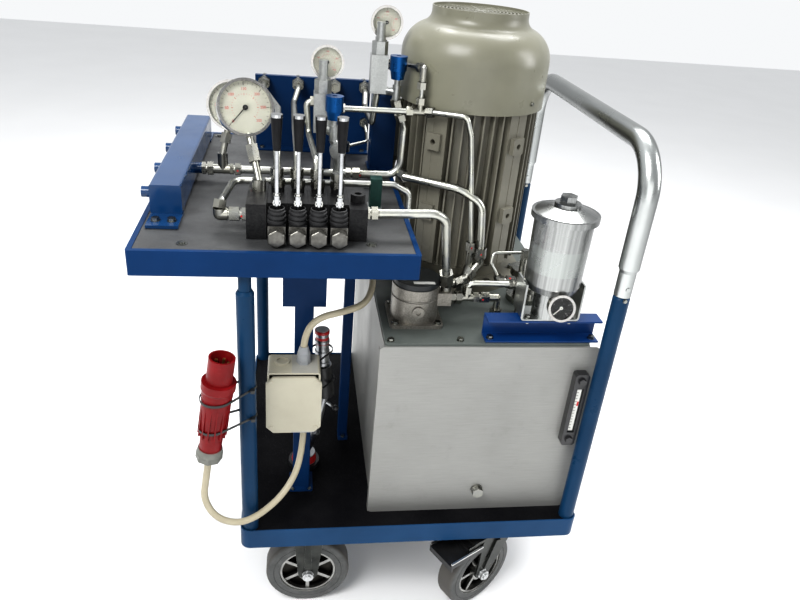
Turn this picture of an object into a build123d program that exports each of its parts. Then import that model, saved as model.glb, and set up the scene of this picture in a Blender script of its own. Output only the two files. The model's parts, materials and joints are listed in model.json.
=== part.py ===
from build123d import *
from math import atan, cos, degrees, pi, radians, sin, tan
import os

# Hydraulic power unit on a platform trolley, millimetres, +Z up.
# Heights are above the floor. The helper at() takes x from the platform's left edge and
# y back from the platform's front edge, and puts the origin on the floor under the middle.

# ---------------------------------------------------------------- driving dimensions
left, front = -302.5, -364.5        # the platform's front left corner in the part's frame

platform_length, platform_width = 790.0, 740.0
rim_top, rim_height, rim_wall, rim_radius = 290.0, 52.0, 3.5, 22.0
deck_top, deck_thickness = 286.0, 12.0

wheel_radius, wheel_width, axle_radius = 100.0, 50.0, 8.0
caster_inset_x, caster_inset_y = 154.0, 70.0
swivel_trail, swivel_turn = 50.0, 30.0

upright_radius, upright_inset, upright_top = 17.5, 22.0, 886.0
bow_radius, bow_height, bow_bend = 21.2, 1182.0, 95.0

tray_left, tray_right, tray_depth = -180.0, 346.0, 780.0
tray_top, apron_height, apron_wall = 972.0, 49.0, 3.0

tank_left, tank_right = 298.0, 746.0
panel_left, panel_right = 289.0, 766.0
tank_front, tank_back = 54.0, 735.0
tank_height = 456.0
lid_thickness = 6.0

motor_x, motor_y = 510.0, 453.0
shaft_radius, fin_radius, cowl_radius = 21.0, 157.0, 166.0

section_pitch, section_count = 38.0, 4
first_section_x = 80.0
spool_z, spool_radius, lever_y, lever_pivot_z = 990.0, 8.0, 60.0, 1012.0
spool_arm = lever_pivot_z - spool_z

lid_top = deck_top + tank_height + lid_thickness
tray_bottom = tray_top - apron_height


def at(x, y, z):
    """A point from the platform's left edge, its front edge and the floor."""
    return (left + x, front + y, z)


# ---------------------------------------------------------------- shapes used often
def block(low, high, mode=Mode.ADD):
    size = Vector(high) - Vector(low)
    with Locations((Vector(low) + Vector(high)) * 0.5):
        Box(size.X, size.Y, size.Z, mode=mode)


def rod(start, end, radius, mode=Mode.ADD, end_radius=None):
    axis = Vector(end) - Vector(start)
    base = (Align.CENTER, Align.CENTER, Align.MIN)
    with Locations(Plane(origin=start, z_dir=axis)):
        if end_radius is None:
            Cylinder(radius, axis.length, align=base, mode=mode)
        else:
            Cone(radius, end_radius, axis.length, align=base, mode=mode)


def hexagon(start, end, across_flats):
    axis = Vector(end) - Vector(start)
    with BuildSketch(Plane(origin=start, z_dir=axis)) as outline:
        RegularPolygon(across_flats / 2, 6, major_radius=False)
    extrude(outline.sketch, amount=axis.length)


def pipe(points, radius, bends):
    with BuildLine() as route:
        FilletPolyline(*points, radius=bends)
    path = route.wire()
    with BuildSketch(Plane(origin=path @ 0, z_dir=path % 0)) as section:
        Circle(radius)
    sweep(section.sketch, path=path)
    return path.length


def plate(corners, z, thickness, radius=0.0):
    """A flat plate with its lower face at z, between two opposite corners."""
    (x0, y0), (x1, y1) = corners
    middle = at((x0 + x1) / 2, (y0 + y1) / 2, z)
    with BuildSketch(Plane(origin=middle)) as outline:
        if radius:
            RectangleRounded(x1 - x0, y1 - y0, radius)
        else:
            Rectangle(x1 - x0, y1 - y0)
    extrude(outline.sketch, amount=thickness)


def bolt(foot, direction, size):
    """A hexagon head with its washer, standing on foot."""
    start, axis = Vector(foot), Vector(direction).normalized()
    rod(start, start + axis * size * 0.2, size * 1.1)
    hexagon(start + axis * size * 0.2, start + axis * size * 0.85, size * 1.7)


def nut(start, end, size):
    """A tube union: body hexagon, thread and cap nut, with its collar at the end."""
    first, axis = Vector(start), Vector(end) - Vector(start)
    hexagon(first, first + axis * 0.30, size * 1.75)
    rod(first + axis * 0.30, first + axis * 0.42, size * 0.72)
    hexagon(first + axis * 0.42, first + axis * 0.88, size * 1.9)
    rod(first + axis * 0.88, end, size * 0.78)


def elbow(corner, ends, size):
    for end in ends:
        rod(corner, end, size * 0.8)
    with Locations(corner):
        Sphere(size * 0.8)


finished = []


def finish(builder, name):
    builder.part.label = name
    finished.append(builder.part)


# ---------------------------------------------------------------- platform trolley
corner_points = [
    (upright_inset, upright_inset),
    (upright_inset, platform_width - upright_inset),
    (platform_length - upright_inset, upright_inset),
    (platform_length - upright_inset, platform_width - upright_inset),
]
platform_middle = at(platform_length / 2, platform_width / 2, 0)

with BuildPart() as platform_frame:
    with BuildSketch(Plane(origin=platform_middle).offset(rim_top - rim_height)) as rim:
        RectangleRounded(platform_length, platform_width, rim_radius)
        offset(amount=-rim_wall, kind=Kind.ARC, mode=Mode.SUBTRACT)
    extrude(amount=rim_height)
    with BuildSketch(Plane(origin=platform_middle).offset(rim_top - rim_height)) as lip:
        RectangleRounded(platform_length - 2, platform_width - 2, rim_radius - 1)
        offset(amount=-24, kind=Kind.ARC, mode=Mode.SUBTRACT)
    extrude(amount=4)
    for x in (caster_inset_x, platform_length - caster_inset_x):
        block(at(x - 55, 3, rim_top - rim_height), at(x + 55, platform_width - 3, 274))
    fillet(platform_frame.edges().filter_by(GeomType.CIRCLE).group_by(Axis.Z)[-1], 1.2)

with BuildPart() as deck_board:
    plate(((4, 4), (platform_length - 4, platform_width - 4)), deck_top - deck_thickness,
          deck_thickness, 17.5)

with BuildPart() as uprights:
    for x, y in corner_points:
        rod(at(x, y, deck_top), at(x, y, upright_top - 6), upright_radius)
        rod(at(x, y, upright_top - 6), at(x, y, upright_top), upright_radius, end_radius=14)
    for x, y in corner_points[:2]:
        rod(at(x, y, upright_top - 12), at(x, y, tray_bottom), 12.5)

with BuildPart() as push_handle:
    bar_x = platform_length - upright_inset
    back_y = platform_width - upright_inset
    pipe([at(bar_x, upright_inset, 946), at(bar_x, upright_inset, bow_height),
          at(bar_x, back_y, bow_height), at(bar_x, back_y, 946)], bow_radius, bow_bend)
    for y in (upright_inset, back_y):
        rod(at(bar_x, y, upright_top), at(bar_x, y, 940), upright_radius)
        rod(at(bar_x, y, 938), at(bar_x, y, 948), upright_radius, end_radius=bow_radius)
        rod(at(bar_x, y - 19.5, 905), at(bar_x, y + 19.5, 905), 4.5)

# ---------------------------------------------------------------- casters
axle_z, hub_radius = wheel_radius, 67.9
caster_top = rim_top - rim_height


def wheel(base):
    """An aluminium centre in a rubber tyre, turning about the Z axis of its plane."""
    with BuildPart(base) as tyre:
        Cylinder(wheel_radius, wheel_width)
        fillet(tyre.edges().filter_by(GeomType.CIRCLE), 9)
        Cylinder(hub_radius + 0.1, wheel_width + 2, mode=Mode.SUBTRACT)
        for side in (-1, 1):
            with Locations((0, 0, side * wheel_width / 2)):
                Torus(hub_radius + 14, 1.2, mode=Mode.SUBTRACT)
    with BuildPart(base) as centre:
        Cylinder(hub_radius, 44)
        for side in (-1, 1):
            with Locations((0, 0, side * 17)):
                Cylinder(hub_radius - 6, 20, mode=Mode.SUBTRACT)
        Cylinder(25, 52)
        with PolarLocations(42, 6):
            Box(41, 8, 36)
        Cylinder(axle_radius + 0.06, 60, mode=Mode.SUBTRACT)
        chamfer(centre.edges().filter_by(GeomType.CIRCLE).sort_by(SortBy.RADIUS)[-2:], 1.5)
    with BuildPart() as whole:
        add(tyre.part)
        add(centre.part)
    return whole


def fork_legs(base, top, behind, ahead):
    """Two side plates and the axle. base stands at the wheel's middle, Z along the axle."""
    for side in (-1, 1):
        with BuildSketch(base.offset(side * 31 - 2)) as leg:
            with BuildLine():
                Polyline((-behind, top), (ahead, top), (22, -12), (-22, -12), close=True)
            make_face()
            fillet(leg.vertices().group_by(Axis.Z)[0], 14)
        extrude(leg.sketch, amount=4)
        with BuildSketch(base.offset(side * 31 + (2 if side > 0 else -7))) as rib:
            with Locations(Location((0, 0, 0), (0, 0, 1), degrees(atan((behind - ahead) / 2 / top)))):
                with Locations((0, top * 0.5)):
                    Rectangle(16, top * 0.7)
        extrude(rib.sketch, amount=5)
    for side in (-1, 1):
        with Locations(base.offset(side * 40.5)):
            Cylinder(13, 4)
    with Locations(base):
        Cylinder(axle_radius, 94)


fixed_x, swivel_x = caster_inset_x, platform_length - caster_inset_x - 24
caster_rows = (caster_inset_y, platform_width - caster_inset_y)

with BuildPart() as caster_mounts:
    for y in caster_rows:
        wheel_plane = Plane(origin=at(fixed_x, y, axle_z), x_dir=(1, 0, 0), z_dir=(0, -1, 0))
        plate(((fixed_x - 70, y - 52), (fixed_x + 70, y + 52)), caster_top - 4, 4, 10)
        fork_legs(wheel_plane, caster_top - 4 - axle_z, 36, 36)
        plate(((swivel_x - 70, y - 52), (swivel_x + 70, y + 52)), caster_top - 4, 4, 10)
        rod(at(swivel_x, y, caster_top - 14), at(swivel_x, y, caster_top - 4), 38)
        rod(at(swivel_x, y, caster_top - 34), at(swivel_x, y, caster_top - 4), 7)
        rod(at(swivel_x, y, caster_top - 36), at(swivel_x, y, caster_top - 29), 12)

front_fixed_wheel = wheel(Plane(origin=at(fixed_x, caster_rows[0], axle_z), z_dir=(0, -1, 0)))
rear_fixed_wheel = wheel(Plane(origin=at(fixed_x, caster_rows[1], axle_z), z_dir=(0, -1, 0)))


def swivel_planes(y, turn):
    """The pivot's plane, X along the trail, and the wheel's plane, Z along the axle."""
    along = Vector(-cos(radians(turn)), -sin(radians(turn)), 0)
    pivot = Vector(at(swivel_x, y, axle_z))
    middle = pivot + along * swivel_trail
    across = Vector(along.Y, -along.X, 0)
    return (Plane(origin=pivot, x_dir=along, z_dir=(0, 0, 1)),
            Plane(origin=middle, x_dir=along, z_dir=across))


def swivel_fork(y, turn):
    pivot_plane, wheel_plane = swivel_planes(y, turn)
    crown = caster_top - 14.4 - axle_z
    with BuildPart(pivot_plane) as fork:
        block((-50, -33, crown - 8), (96, 33, crown))
        for side in (-1, 1):
            block((78, side * 31 - 2, 92), (113, side * 31 + 2, crown - 2))
        rod((104, -34, 100), (104, 34, 100), 5.06, mode=Mode.SUBTRACT)
        with Locations((0, 0, crown)):
            Cylinder(7.06, 40, mode=Mode.SUBTRACT)
    with BuildPart() as legs:
        fork_legs(wheel_plane, crown, 100, 14)
    with BuildPart() as whole:
        add(fork.part)
        add(legs.part)
    return whole


def brake_pedal(y, turn):
    """A pedal over the wheel, hinged across the fork beside the crown."""
    pivot_plane, _ = swivel_planes(y, turn)
    with BuildPart(pivot_plane) as pedal:
        block((70, -27, 101), (116, 27, 104))
        block((115, -40, 97), (172, 40, 101))
        block((168, -40, 86), (172, 40, 101))
        for side in (-1, 1):
            block((72, side * 38 - 2, 94), (172, side * 38 + 2, 111))
        rod((104, -38, 100), (104, 38, 100), 5)
    return pedal


front_swivel_fork = swivel_fork(caster_rows[0], swivel_turn)
rear_swivel_fork = swivel_fork(caster_rows[1], -14.0)
front_swivel_wheel = wheel(swivel_planes(caster_rows[0], swivel_turn)[1])
rear_swivel_wheel = wheel(swivel_planes(caster_rows[1], -14.0)[1])
front_brake_pedal = brake_pedal(caster_rows[0], swivel_turn)
rear_brake_pedal = brake_pedal(caster_rows[1], -14.0)

for builder, name in (
    (platform_frame, "platform_frame"), (deck_board, "deck_board"), (uprights, "uprights"),
    (push_handle, "push_handle"), (caster_mounts, "caster_mounts"),
    (front_fixed_wheel, "front_fixed_wheel"), (rear_fixed_wheel, "rear_fixed_wheel"),
    (front_swivel_fork, "front_swivel_fork"), (rear_swivel_fork, "rear_swivel_fork"),
    (front_swivel_wheel, "front_swivel_wheel"), (rear_swivel_wheel, "rear_swivel_wheel"),
    (front_brake_pedal, "front_brake_pedal"), (rear_brake_pedal, "rear_brake_pedal"),
):
    finish(builder, name)

# ---------------------------------------------------------------- upper tray
tray_length = tray_right - tray_left
tray_middle = at((tray_left + tray_right) / 2, tray_depth / 2, 0)
post_x, post_y, post_width = 135.0, 137.0, 40.0
leg_x, leg_y, leg_width = 246.0, 333.0, 25.0

with BuildPart() as tray_frame:
    with BuildSketch(Plane(origin=tray_middle).offset(tray_bottom)) as apron:
        RectangleRounded(tray_length, tray_depth, 5)
        offset(amount=-apron_wall, kind=Kind.ARC, mode=Mode.SUBTRACT)
    extrude(amount=apron_height)
    with BuildSketch(Plane(origin=tray_middle).offset(tray_top - 3)) as flange:
        RectangleRounded(tray_length - 1, tray_depth - 1, 4.5)
        offset(amount=-9, kind=Kind.ARC, mode=Mode.SUBTRACT)
    extrude(amount=3)
    for x in (tray_left + 70, post_x, leg_x + 60):
        block(at(x - 15, 3, tray_bottom + 6), at(x + 15, tray_depth - 3, tray_top - 14))

with BuildPart() as tray_mat:
    plate(((tray_left + 10, 10), (tray_right - 10, tray_depth - 10)), tray_top - 14, 13, 3)

with BuildPart() as tray_legs:
    back_of_post = post_y + post_width
    for x, y, width in ((post_x, post_y, post_width), (leg_x, leg_y, leg_width)):
        low, high = at(x - width / 2, y, deck_top + 5), at(x + width / 2, y + width, tray_bottom + 6)
        block(low, high)
    fillet(tray_legs.edges().filter_by(Axis.Z), 3)
    plate(((post_x - 45, post_y - 4), (post_x + 45, post_y)), 790, tray_bottom - 790)
    plate(((post_x - 28, post_y - 12), (post_x + 28, back_of_post + 12)), deck_top, 5, 4)
    plate(((leg_x - 13, leg_y - 20), (leg_x + 13, leg_y + 26)), deck_top, 5, 3)

# ---------------------------------------------------------------- collector and valve supports
header_x0, header_x1, header_y0, header_y1 = -163.0, -103.0, 160.0, 700.0
header_z, port_z = tray_top + 6.0, 1006.0
header_ports = [205.0 + 150.0 * step for step in range(4)]
outlet_y = 383.0

with BuildPart() as collector_header:
    block(at(header_x0, header_y0, header_z), at(header_x1, header_y1, header_z + 58))
    fillet(collector_header.edges().filter_by(Axis.Y), 5)
    block(at(header_x0 + 5, header_y0 + 5, header_z + 5),
          at(header_x1 - 5, header_y1 - 5, header_z + 53), mode=Mode.SUBTRACT)
    plate(((header_x0, header_y0 - 60), (header_x1, header_y0 + 20)), tray_top, 6)
    plate(((header_x0, header_y1 - 20), (header_x1, header_y1 + 60)), tray_top, 6)
    for y in header_ports:
        rod(at(header_x0 + 4, y, port_z), at(header_x0 - 22, y, port_z), 11)
        rod(at(header_x0 + 6, y, port_z), at(header_x0 - 23, y, port_z), 6.6, mode=Mode.SUBTRACT)
    rod(at(header_x1 - 4, outlet_y, port_z - 6), at(header_x1 + 16, outlet_y, port_z - 6), 12)

plate_x0, plate_x1, plate_y, plate_top = 13.0, 300.0, 658.0, 1154.0
bulkhead_x = [35.0, 118.0, 209.0, 284.0]
bulkhead_z = 1139.0
tall_column, short_column = (321.0, 500.0, 1159.0), (177.0, 394.0, 1114.0)

with BuildPart() as valve_supports:
    block(at(plate_x0, plate_y, tray_top), at(plate_x1, plate_y + 4, plate_top))
    block(at(plate_x0, plate_y - 28, tray_top), at(plate_x1, plate_y, tray_top + 4))
    block(at(plate_x0, plate_y + 4, plate_top - 4), at(plate_x1, plate_y + 14, plate_top))
    for x in bulkhead_x:
        rod(at(x, plate_y - 4, bulkhead_z), at(x, plate_y + 6, bulkhead_z), 11.2, mode=Mode.SUBTRACT)
    rod(at(288, plate_y - 4, 1050), at(288, plate_y + 6, 1050), 9.2, mode=Mode.SUBTRACT)
    for (x, y, top), width in ((tall_column, 57), (short_column, 30)):
        block(at(x - width / 2, y, tray_top + 4), at(x + width / 2, y + width, top))
        plate(((x - width / 2 - 4, y - 2), (x + width / 2 - 4, y + width + 6)), tray_top, 4)
    # brackets that carry the two pressure valves in front of the columns
    block(at(293, 500, 1150), at(306, 506, 1182))
    block(at(293, 384, 1174), at(306, 506, 1182))
    block(at(170, 339, 1111), at(184, 396, 1117))

# ---------------------------------------------------------------- lever valve bank
bank_back, bank_top = 186.0, 1036.0
section_x = [first_section_x + section_pitch * step for step in range(section_count)]
inlet_x, outlet_x = 42.0, 231.0
collar_top = 1018.0

with BuildPart() as valve_block:
    block(at(24, 62, tray_top), at(60.8, bank_back, bank_top + 4))
    block(at(213.2, 62, tray_top), at(248, bank_back, bank_top))
    for x in section_x:
        block(at(x - 18.8, 84, tray_top), at(x + 18.8, bank_back, bank_top))
        block(at(x - 16, 38, tray_top + 1), at(x + 16, 84, 1008))
        rod(at(x, lever_y, 1000), at(x, lever_y, collar_top), 14.8)
        block(at(x - 8.2, lever_y - 16, spool_z - 4), at(x + 8.2, lever_y + 16, 1004),
              mode=Mode.SUBTRACT)
        rod(at(x, lever_y, 1000), at(x, lever_y, collar_top + 1), 8.2, mode=Mode.SUBTRACT)
        rod(at(x - 16, lever_y, lever_pivot_z), at(x + 16, lever_y, lever_pivot_z), 2.56,
            mode=Mode.SUBTRACT)
        rod(at(x, 36, spool_z), at(x, 178, spool_z), spool_radius + 0.06, mode=Mode.SUBTRACT)
        rod(at(x, 150, bank_top - 2), at(x, 150, bank_top + 12), 12.5)
    rod(at(outlet_x, 105, bank_top - 2), at(outlet_x, 105, bank_top + 16), 14)
    rod(at(outlet_x, 105, bank_top + 4), at(outlet_x, 105, bank_top + 17), 7, mode=Mode.SUBTRACT)

with BuildPart() as cap_row:
    for x in section_x:
        rod(at(x, 38, spool_z), at(x, 31, spool_z), 15.5)
        hexagon(at(x, 31, spool_z), at(x, 20, spool_z), 30)
    fillet(cap_row.edges().filter_by(Axis.Y).filter_by(lambda edge: edge.length > 10), 5)
    for x in section_x:
        rod(at(x, 40, spool_z), at(x, 22.5, spool_z), spool_radius + 0.5, mode=Mode.SUBTRACT)
    chamfer(cap_row.faces().sort_by(Axis.Y)[:section_count].edges(), 1.2)

with BuildPart() as valve_bank:
    add(valve_block.part)
    add(cap_row.part)

with BuildPart() as lever_boots:
    for x in section_x:
        rod(at(x, lever_y, 1008), at(x, lever_y, 1037), 17.6, end_radius=16.4)
        rod(at(x, lever_y, 1007), at(x, lever_y, collar_top + 1), 15.1, mode=Mode.SUBTRACT)
        rod(at(x, lever_y, collar_top), at(x, lever_y, 1038), 12.9, mode=Mode.SUBTRACT)

spools, levers = [], []
for x in section_x:
    with BuildPart() as spool:
        rod(at(x, 31, spool_z), at(x, 170, spool_z), spool_radius)
        for groove in (100, 122, 144):
            with Locations(Plane(origin=at(x, groove, spool_z), z_dir=(0, 1, 0))):
                Cylinder(spool_radius + 1, 9, mode=Mode.SUBTRACT)
                Cylinder(4.5, 9)
        block(at(x - 9, lever_y - 5.6, spool_z - 6), at(x + 9, lever_y + 5.6, spool_z + 9),
              mode=Mode.SUBTRACT)
    spools.append(spool)
    with BuildPart() as lever:
        with Locations(at(x, lever_y, spool_z)):
            Sphere(4.8)
        rod(at(x, lever_y, spool_z), at(x, lever_y, lever_pivot_z), 2.4)
        with Locations(at(x, lever_y, lever_pivot_z)):
            Sphere(7)
        rod(at(x - 12, lever_y, lever_pivot_z), at(x + 12, lever_y, lever_pivot_z), 2.5)
        rod(at(x, lever_y, lever_pivot_z), at(x, lever_y, 1150), 4)
        rod(at(x, lever_y, 1045), at(x, lever_y, 1060), 7)
        rod(at(x, lever_y, 1143), at(x, lever_y, 1201), 6.8, end_radius=10.4)
        rod(at(x, lever_y, 1201), at(x, lever_y, 1206), 10.4)
    levers.append(lever)

for builder, name in (
    (tray_frame, "tray_frame"), (tray_mat, "tray_mat"), (tray_legs, "tray_legs"),
    (collector_header, "collector_header"), (valve_supports, "valve_supports"),
    (valve_bank, "valve_block"), (lever_boots, "lever_boots"),
):
    finish(builder, name)
for number in range(section_count):
    finish(spools[number], f"valve_spool_{number + 1}")
    finish(levers[number], f"valve_lever_{number + 1}")

# ---------------------------------------------------------------- tank, motor and pump
with BuildPart() as tank_body:
    block(at(tank_left, tank_front, deck_top), at(tank_right, tank_back, deck_top + tank_height))
    fillet(tank_body.edges().filter_by(Axis.Z), 6)
    block(at(tank_left + 4, tank_front + 4, deck_top + 4),
          at(tank_right - 4, tank_back - 4, deck_top + tank_height + 1), mode=Mode.SUBTRACT)
    panel_x = (panel_left + panel_right) / 2
    panel_z = deck_top + tank_height / 2
    with BuildSketch(Plane(origin=at(panel_x, tank_front, panel_z), x_dir=(1, 0, 0),
                           z_dir=(0, -1, 0))) as panel:
        Rectangle(panel_right - panel_left, tank_height)
        fillet(panel.vertices().group_by(Axis.Z)[-1], 9)
    extrude(amount=3)
    fold = 16
    for x in (panel_left, panel_right - 2):
        block(at(x, tank_front, deck_top), at(x + 2, tank_front + fold, deck_top + tank_height - 10))
    for x in (tank_left + 4, tank_right - 24):
        block(at(x, tank_front + 4, deck_top + tank_height - 5),
              at(x + 20, tank_back - 4, deck_top + tank_height))

with BuildPart() as tank_lid:
    plate(((tank_left + 2, tank_front + 2), (tank_right - 2, tank_back - 2)),
          deck_top + tank_height, lid_thickness, 6)
    rod(at(motor_x, motor_y, lid_top - 20), at(motor_x, motor_y, lid_top + 1), 112,
        mode=Mode.SUBTRACT)
    rod(at(374, 172, lid_top - 20), at(374, 172, lid_top + 1), 40, mode=Mode.SUBTRACT)

flange_top = lid_top + 18
body_top, cowl_bottom, cowl_shoulder, cowl_top = 1178.0, 1167.0, 1262.0, 1362.0
neck_radius, neck_bottom = 106.0, 1350.0
boss_angles = (52, 232, 302)

with BuildPart() as motor_housing:
    rod(at(motor_x, motor_y, lid_top), at(motor_x, motor_y, flange_top), 172)
    rod(at(motor_x, motor_y, flange_top), at(motor_x, motor_y, flange_top + 34), 128,
        end_radius=140)
    rod(at(motor_x, motor_y, flange_top + 34), at(motor_x, motor_y, body_top), 136)
    with BuildSketch(Plane(origin=at(motor_x, motor_y, flange_top + 44))) as fins:
        with PolarLocations(fin_radius - 14, 44):
            Rectangle(28, 3.4)
        for angle in boss_angles:
            with PolarLocations(fin_radius - 18, 1, start_angle=angle):
                Rectangle(34, 50)
    extrude(amount=body_top - flange_top - 54)
    for angle in boss_angles:
        out = Vector(cos(radians(angle)), sin(radians(angle)), 0)
        for z in (936, 1098):
            middle = Vector(at(motor_x, motor_y, z)) + out * (fin_radius + 2)
            with Locations(Plane(origin=middle, z_dir=out)):
                Box(32, 36, 16)
                Cylinder(6, 20, mode=Mode.SUBTRACT)
    rod(at(motor_x, motor_y, lid_top - 1), at(motor_x, motor_y, body_top - 14), 108,
        mode=Mode.SUBTRACT)
    rod(at(motor_x, motor_y, body_top - 30), at(motor_x, motor_y, body_top + 1),
        shaft_radius + 0.08, mode=Mode.SUBTRACT)
    rod(at(motor_x, motor_y, lid_top), at(motor_x, motor_y, lid_top + 14), 110)
    rod(at(motor_x, motor_y, lid_top - 1), at(motor_x, motor_y, lid_top + 15),
        shaft_radius + 0.08, mode=Mode.SUBTRACT)

# the cowl's shoulder and neck are two arcs that turn in and back by the same angle
shoulder_half = atan((cowl_radius - neck_radius) / (neck_bottom - cowl_shoulder))
shoulder_turn = 2 * degrees(shoulder_half)
shoulder_sum = (cowl_radius - neck_radius) / (1 - cos(2 * shoulder_half))

with BuildPart() as motor_fan_cowl:
    with BuildSketch(Plane(origin=at(motor_x, motor_y, 0), x_dir=(1, 0, 0),
                           z_dir=(0, -1, 0))) as outline:
        with BuildLine():
            wall, convex, concave = 2.5, shoulder_sum * 0.74, shoulder_sum * 0.26
            Line((cowl_radius, cowl_bottom), (cowl_radius, cowl_shoulder))
            shoulder = JernArc(start=(cowl_radius, cowl_shoulder), tangent=(0, 1),
                               radius=convex, arc_size=shoulder_turn)
            JernArc(start=shoulder @ 1, tangent=shoulder % 1, radius=concave,
                    arc_size=-shoulder_turn)
            Polyline((neck_radius, neck_bottom), (neck_radius, cowl_top),
                     (neck_radius - wall, cowl_top), (neck_radius - wall, neck_bottom))
            inside = JernArc(start=(neck_radius - wall, neck_bottom), tangent=(0, -1),
                             radius=concave + wall, arc_size=shoulder_turn)
            JernArc(start=inside @ 1, tangent=inside % 1, radius=convex - wall,
                    arc_size=-shoulder_turn)
            Polyline((cowl_radius - wall, cowl_shoulder), (cowl_radius - wall, cowl_bottom),
                     (cowl_radius, cowl_bottom))
        make_face()
    revolve(axis=Axis(at(motor_x, motor_y, 0), (0, 0, 1)))
    with BuildSketch(Plane(origin=at(motor_x, motor_y, cowl_top - 9))) as grille:
        Circle(neck_radius - 1)
        Circle(99, mode=Mode.SUBTRACT)
        for radius in range(91, 8, -8):
            Circle(radius + 1.4)
            Circle(radius - 1.4, mode=Mode.SUBTRACT)
        Circle(9)
        with PolarLocations(52, 12):
            Rectangle(98, 3)
    extrude(amount=4)
    for turn in range(4):
        angle = radians(40 + 90 * turn)
        spot = (motor_x + (fin_radius + 3) * cos(angle), motor_y + (fin_radius + 3) * sin(angle))
        block(at(spot[0] - 6, spot[1] - 6, 1184), at(spot[0] + 6, spot[1] + 6, 1194))

# ---------------------------------------------------------------- rotor, fan and gear pump
gear_teeth, gear_module, pressure_angle = 12, 3.0, radians(20)
pitch_radius = gear_teeth * gear_module / 2
gear_centres = 2 * pitch_radius + 0.3
gear_z, gear_height = 562.2, 35.6
tip_radius, root_radius = pitch_radius + gear_module, pitch_radius - 1.25 * gear_module
backlash = 0.25


def gear_outline(turn):
    """Involute teeth about the plane's origin, the first one at the angle turn."""
    base = pitch_radius * cos(pressure_angle)
    half_tooth = pi / (2 * gear_teeth) - backlash / (2 * pitch_radius)
    half_tooth += tan(pressure_angle) - pressure_angle
    flank = []
    for step in range(6):
        radius = max(base, root_radius) + (tip_radius - base) * step / 5
        roll = (max(radius * radius / (base * base) - 1, 0)) ** 0.5
        flank.append((radius, half_tooth - (roll - atan(roll))))
    points = []
    for tooth in range(gear_teeth):
        middle = turn + 2 * pi * tooth / gear_teeth
        side = [(root_radius, half_tooth)] + flank
        for radius, angle in side:
            points.append((radius * cos(middle - angle), radius * sin(middle - angle)))
        for radius, angle in reversed(side):
            points.append((radius * cos(middle + angle), radius * sin(middle + angle)))
    return points


def gear(x, y, turn):
    with BuildSketch(Plane(origin=at(x, y, gear_z))) as teeth:
        with BuildLine():
            Polyline(*gear_outline(turn), close=True)
        make_face()
    extrude(teeth.sketch, amount=gear_height)


driven_y = motor_y + gear_centres

with BuildPart() as motor_rotor:
    rod(at(motor_x, motor_y, 702), at(motor_x, motor_y, 1262), shaft_radius)
    rod(at(motor_x, motor_y, 850), at(motor_x, motor_y, 1060), 82)
    rod(at(motor_x, motor_y, 702), at(motor_x, motor_y, 742), 34)
    rod(at(motor_x, motor_y, 545), at(motor_x, motor_y, 700), 9)
    gear(motor_x, motor_y, pi / 2)
    rod(at(motor_x, motor_y, 662), at(motor_x, motor_y, 701.5), 34)

with BuildPart() as cooling_fan:
    rod(at(motor_x, motor_y, 1190), at(motor_x, motor_y, 1230), 34)
    rod(at(motor_x, motor_y, 1190), at(motor_x, motor_y, 1196), 128)
    with BuildSketch(Plane(origin=at(motor_x, motor_y, 1190))) as blades:
        with PolarLocations(88, 8):
            Rectangle(84, 4)
    extrude(amount=44)
    rod(at(motor_x, motor_y, 1180), at(motor_x, motor_y, 1240), shaft_radius, mode=Mode.SUBTRACT)

with BuildPart() as rotor_with_fan:
    add(motor_rotor.part)
    add(cooling_fan.part)

with BuildPart() as pump_housing:
    rod(at(motor_x, motor_y, 632), at(motor_x, motor_y, lid_top), 106)
    rod(at(motor_x, motor_y, 642), at(motor_x, motor_y, lid_top + 1), 96, mode=Mode.SUBTRACT)
    block(at(motor_x - 42, motor_y - 44, 538), at(motor_x + 42, driven_y + 44, 632))
    for y in (motor_y, driven_y):
        rod(at(motor_x, y, gear_z - 0.2), at(motor_x, y, gear_z + gear_height + 0.2),
            tip_radius + 0.2, mode=Mode.SUBTRACT)
        rod(at(motor_x, y, 544), at(motor_x, y, 622), 9.06, mode=Mode.SUBTRACT)
    rod(at(motor_x, motor_y, 600), at(motor_x, motor_y, 650), 9.06, mode=Mode.SUBTRACT)
    for side in (-1, 1):
        rod(at(motor_x, (motor_y + driven_y) / 2, 580),
            at(motor_x + side * 60, (motor_y + driven_y) / 2, 580), 9, mode=Mode.SUBTRACT)

with BuildPart() as pump_driven_gear:
    rod(at(motor_x, driven_y, 545), at(motor_x, driven_y, 621), 9)
    gear(motor_x, driven_y, -pi / 2 + pi / gear_teeth)

# ---------------------------------------------------------------- filters on the tank
return_x, return_y, drum_radius, drum_top = 374.0, 172.0, 52.0, 834.0
can_x, can_y, can_bottom, can_top, can_radius = 644.0, 90.0, 868.0, 1022.0, 60.0
channel_top = lid_top + 52

with BuildPart() as return_filter:
    plate(((return_x - 58, return_y - 58), (return_x + 58, return_y + 58)), lid_top, 8, 12)
    rod(at(return_x, return_y, lid_top), at(return_x, return_y, drum_top), drum_radius)
    rod(at(return_x, return_y, 300), at(return_x, return_y, lid_top), 38)
    rod(at(return_x, return_y, 308), at(return_x, return_y, drum_top - 8), 34, mode=Mode.SUBTRACT)
    with Locations(at(return_x, return_y, drum_top - 26)):
        Torus(drum_radius + 1, 3, mode=Mode.SUBTRACT)
    rod(at(return_x, return_y, drum_top), at(return_x, return_y, drum_top + 12), 50)
    block(at(return_x + 44, return_y - 26, 788), at(return_x + 76, return_y + 4, 818))
    rod(at(return_x, return_y - 48, 786), at(return_x, return_y - 56, 786), 13)
    rod(at(return_x, return_y - 53, 786), at(return_x, return_y - 57, 786), 5.5,
        mode=Mode.SUBTRACT)

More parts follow.
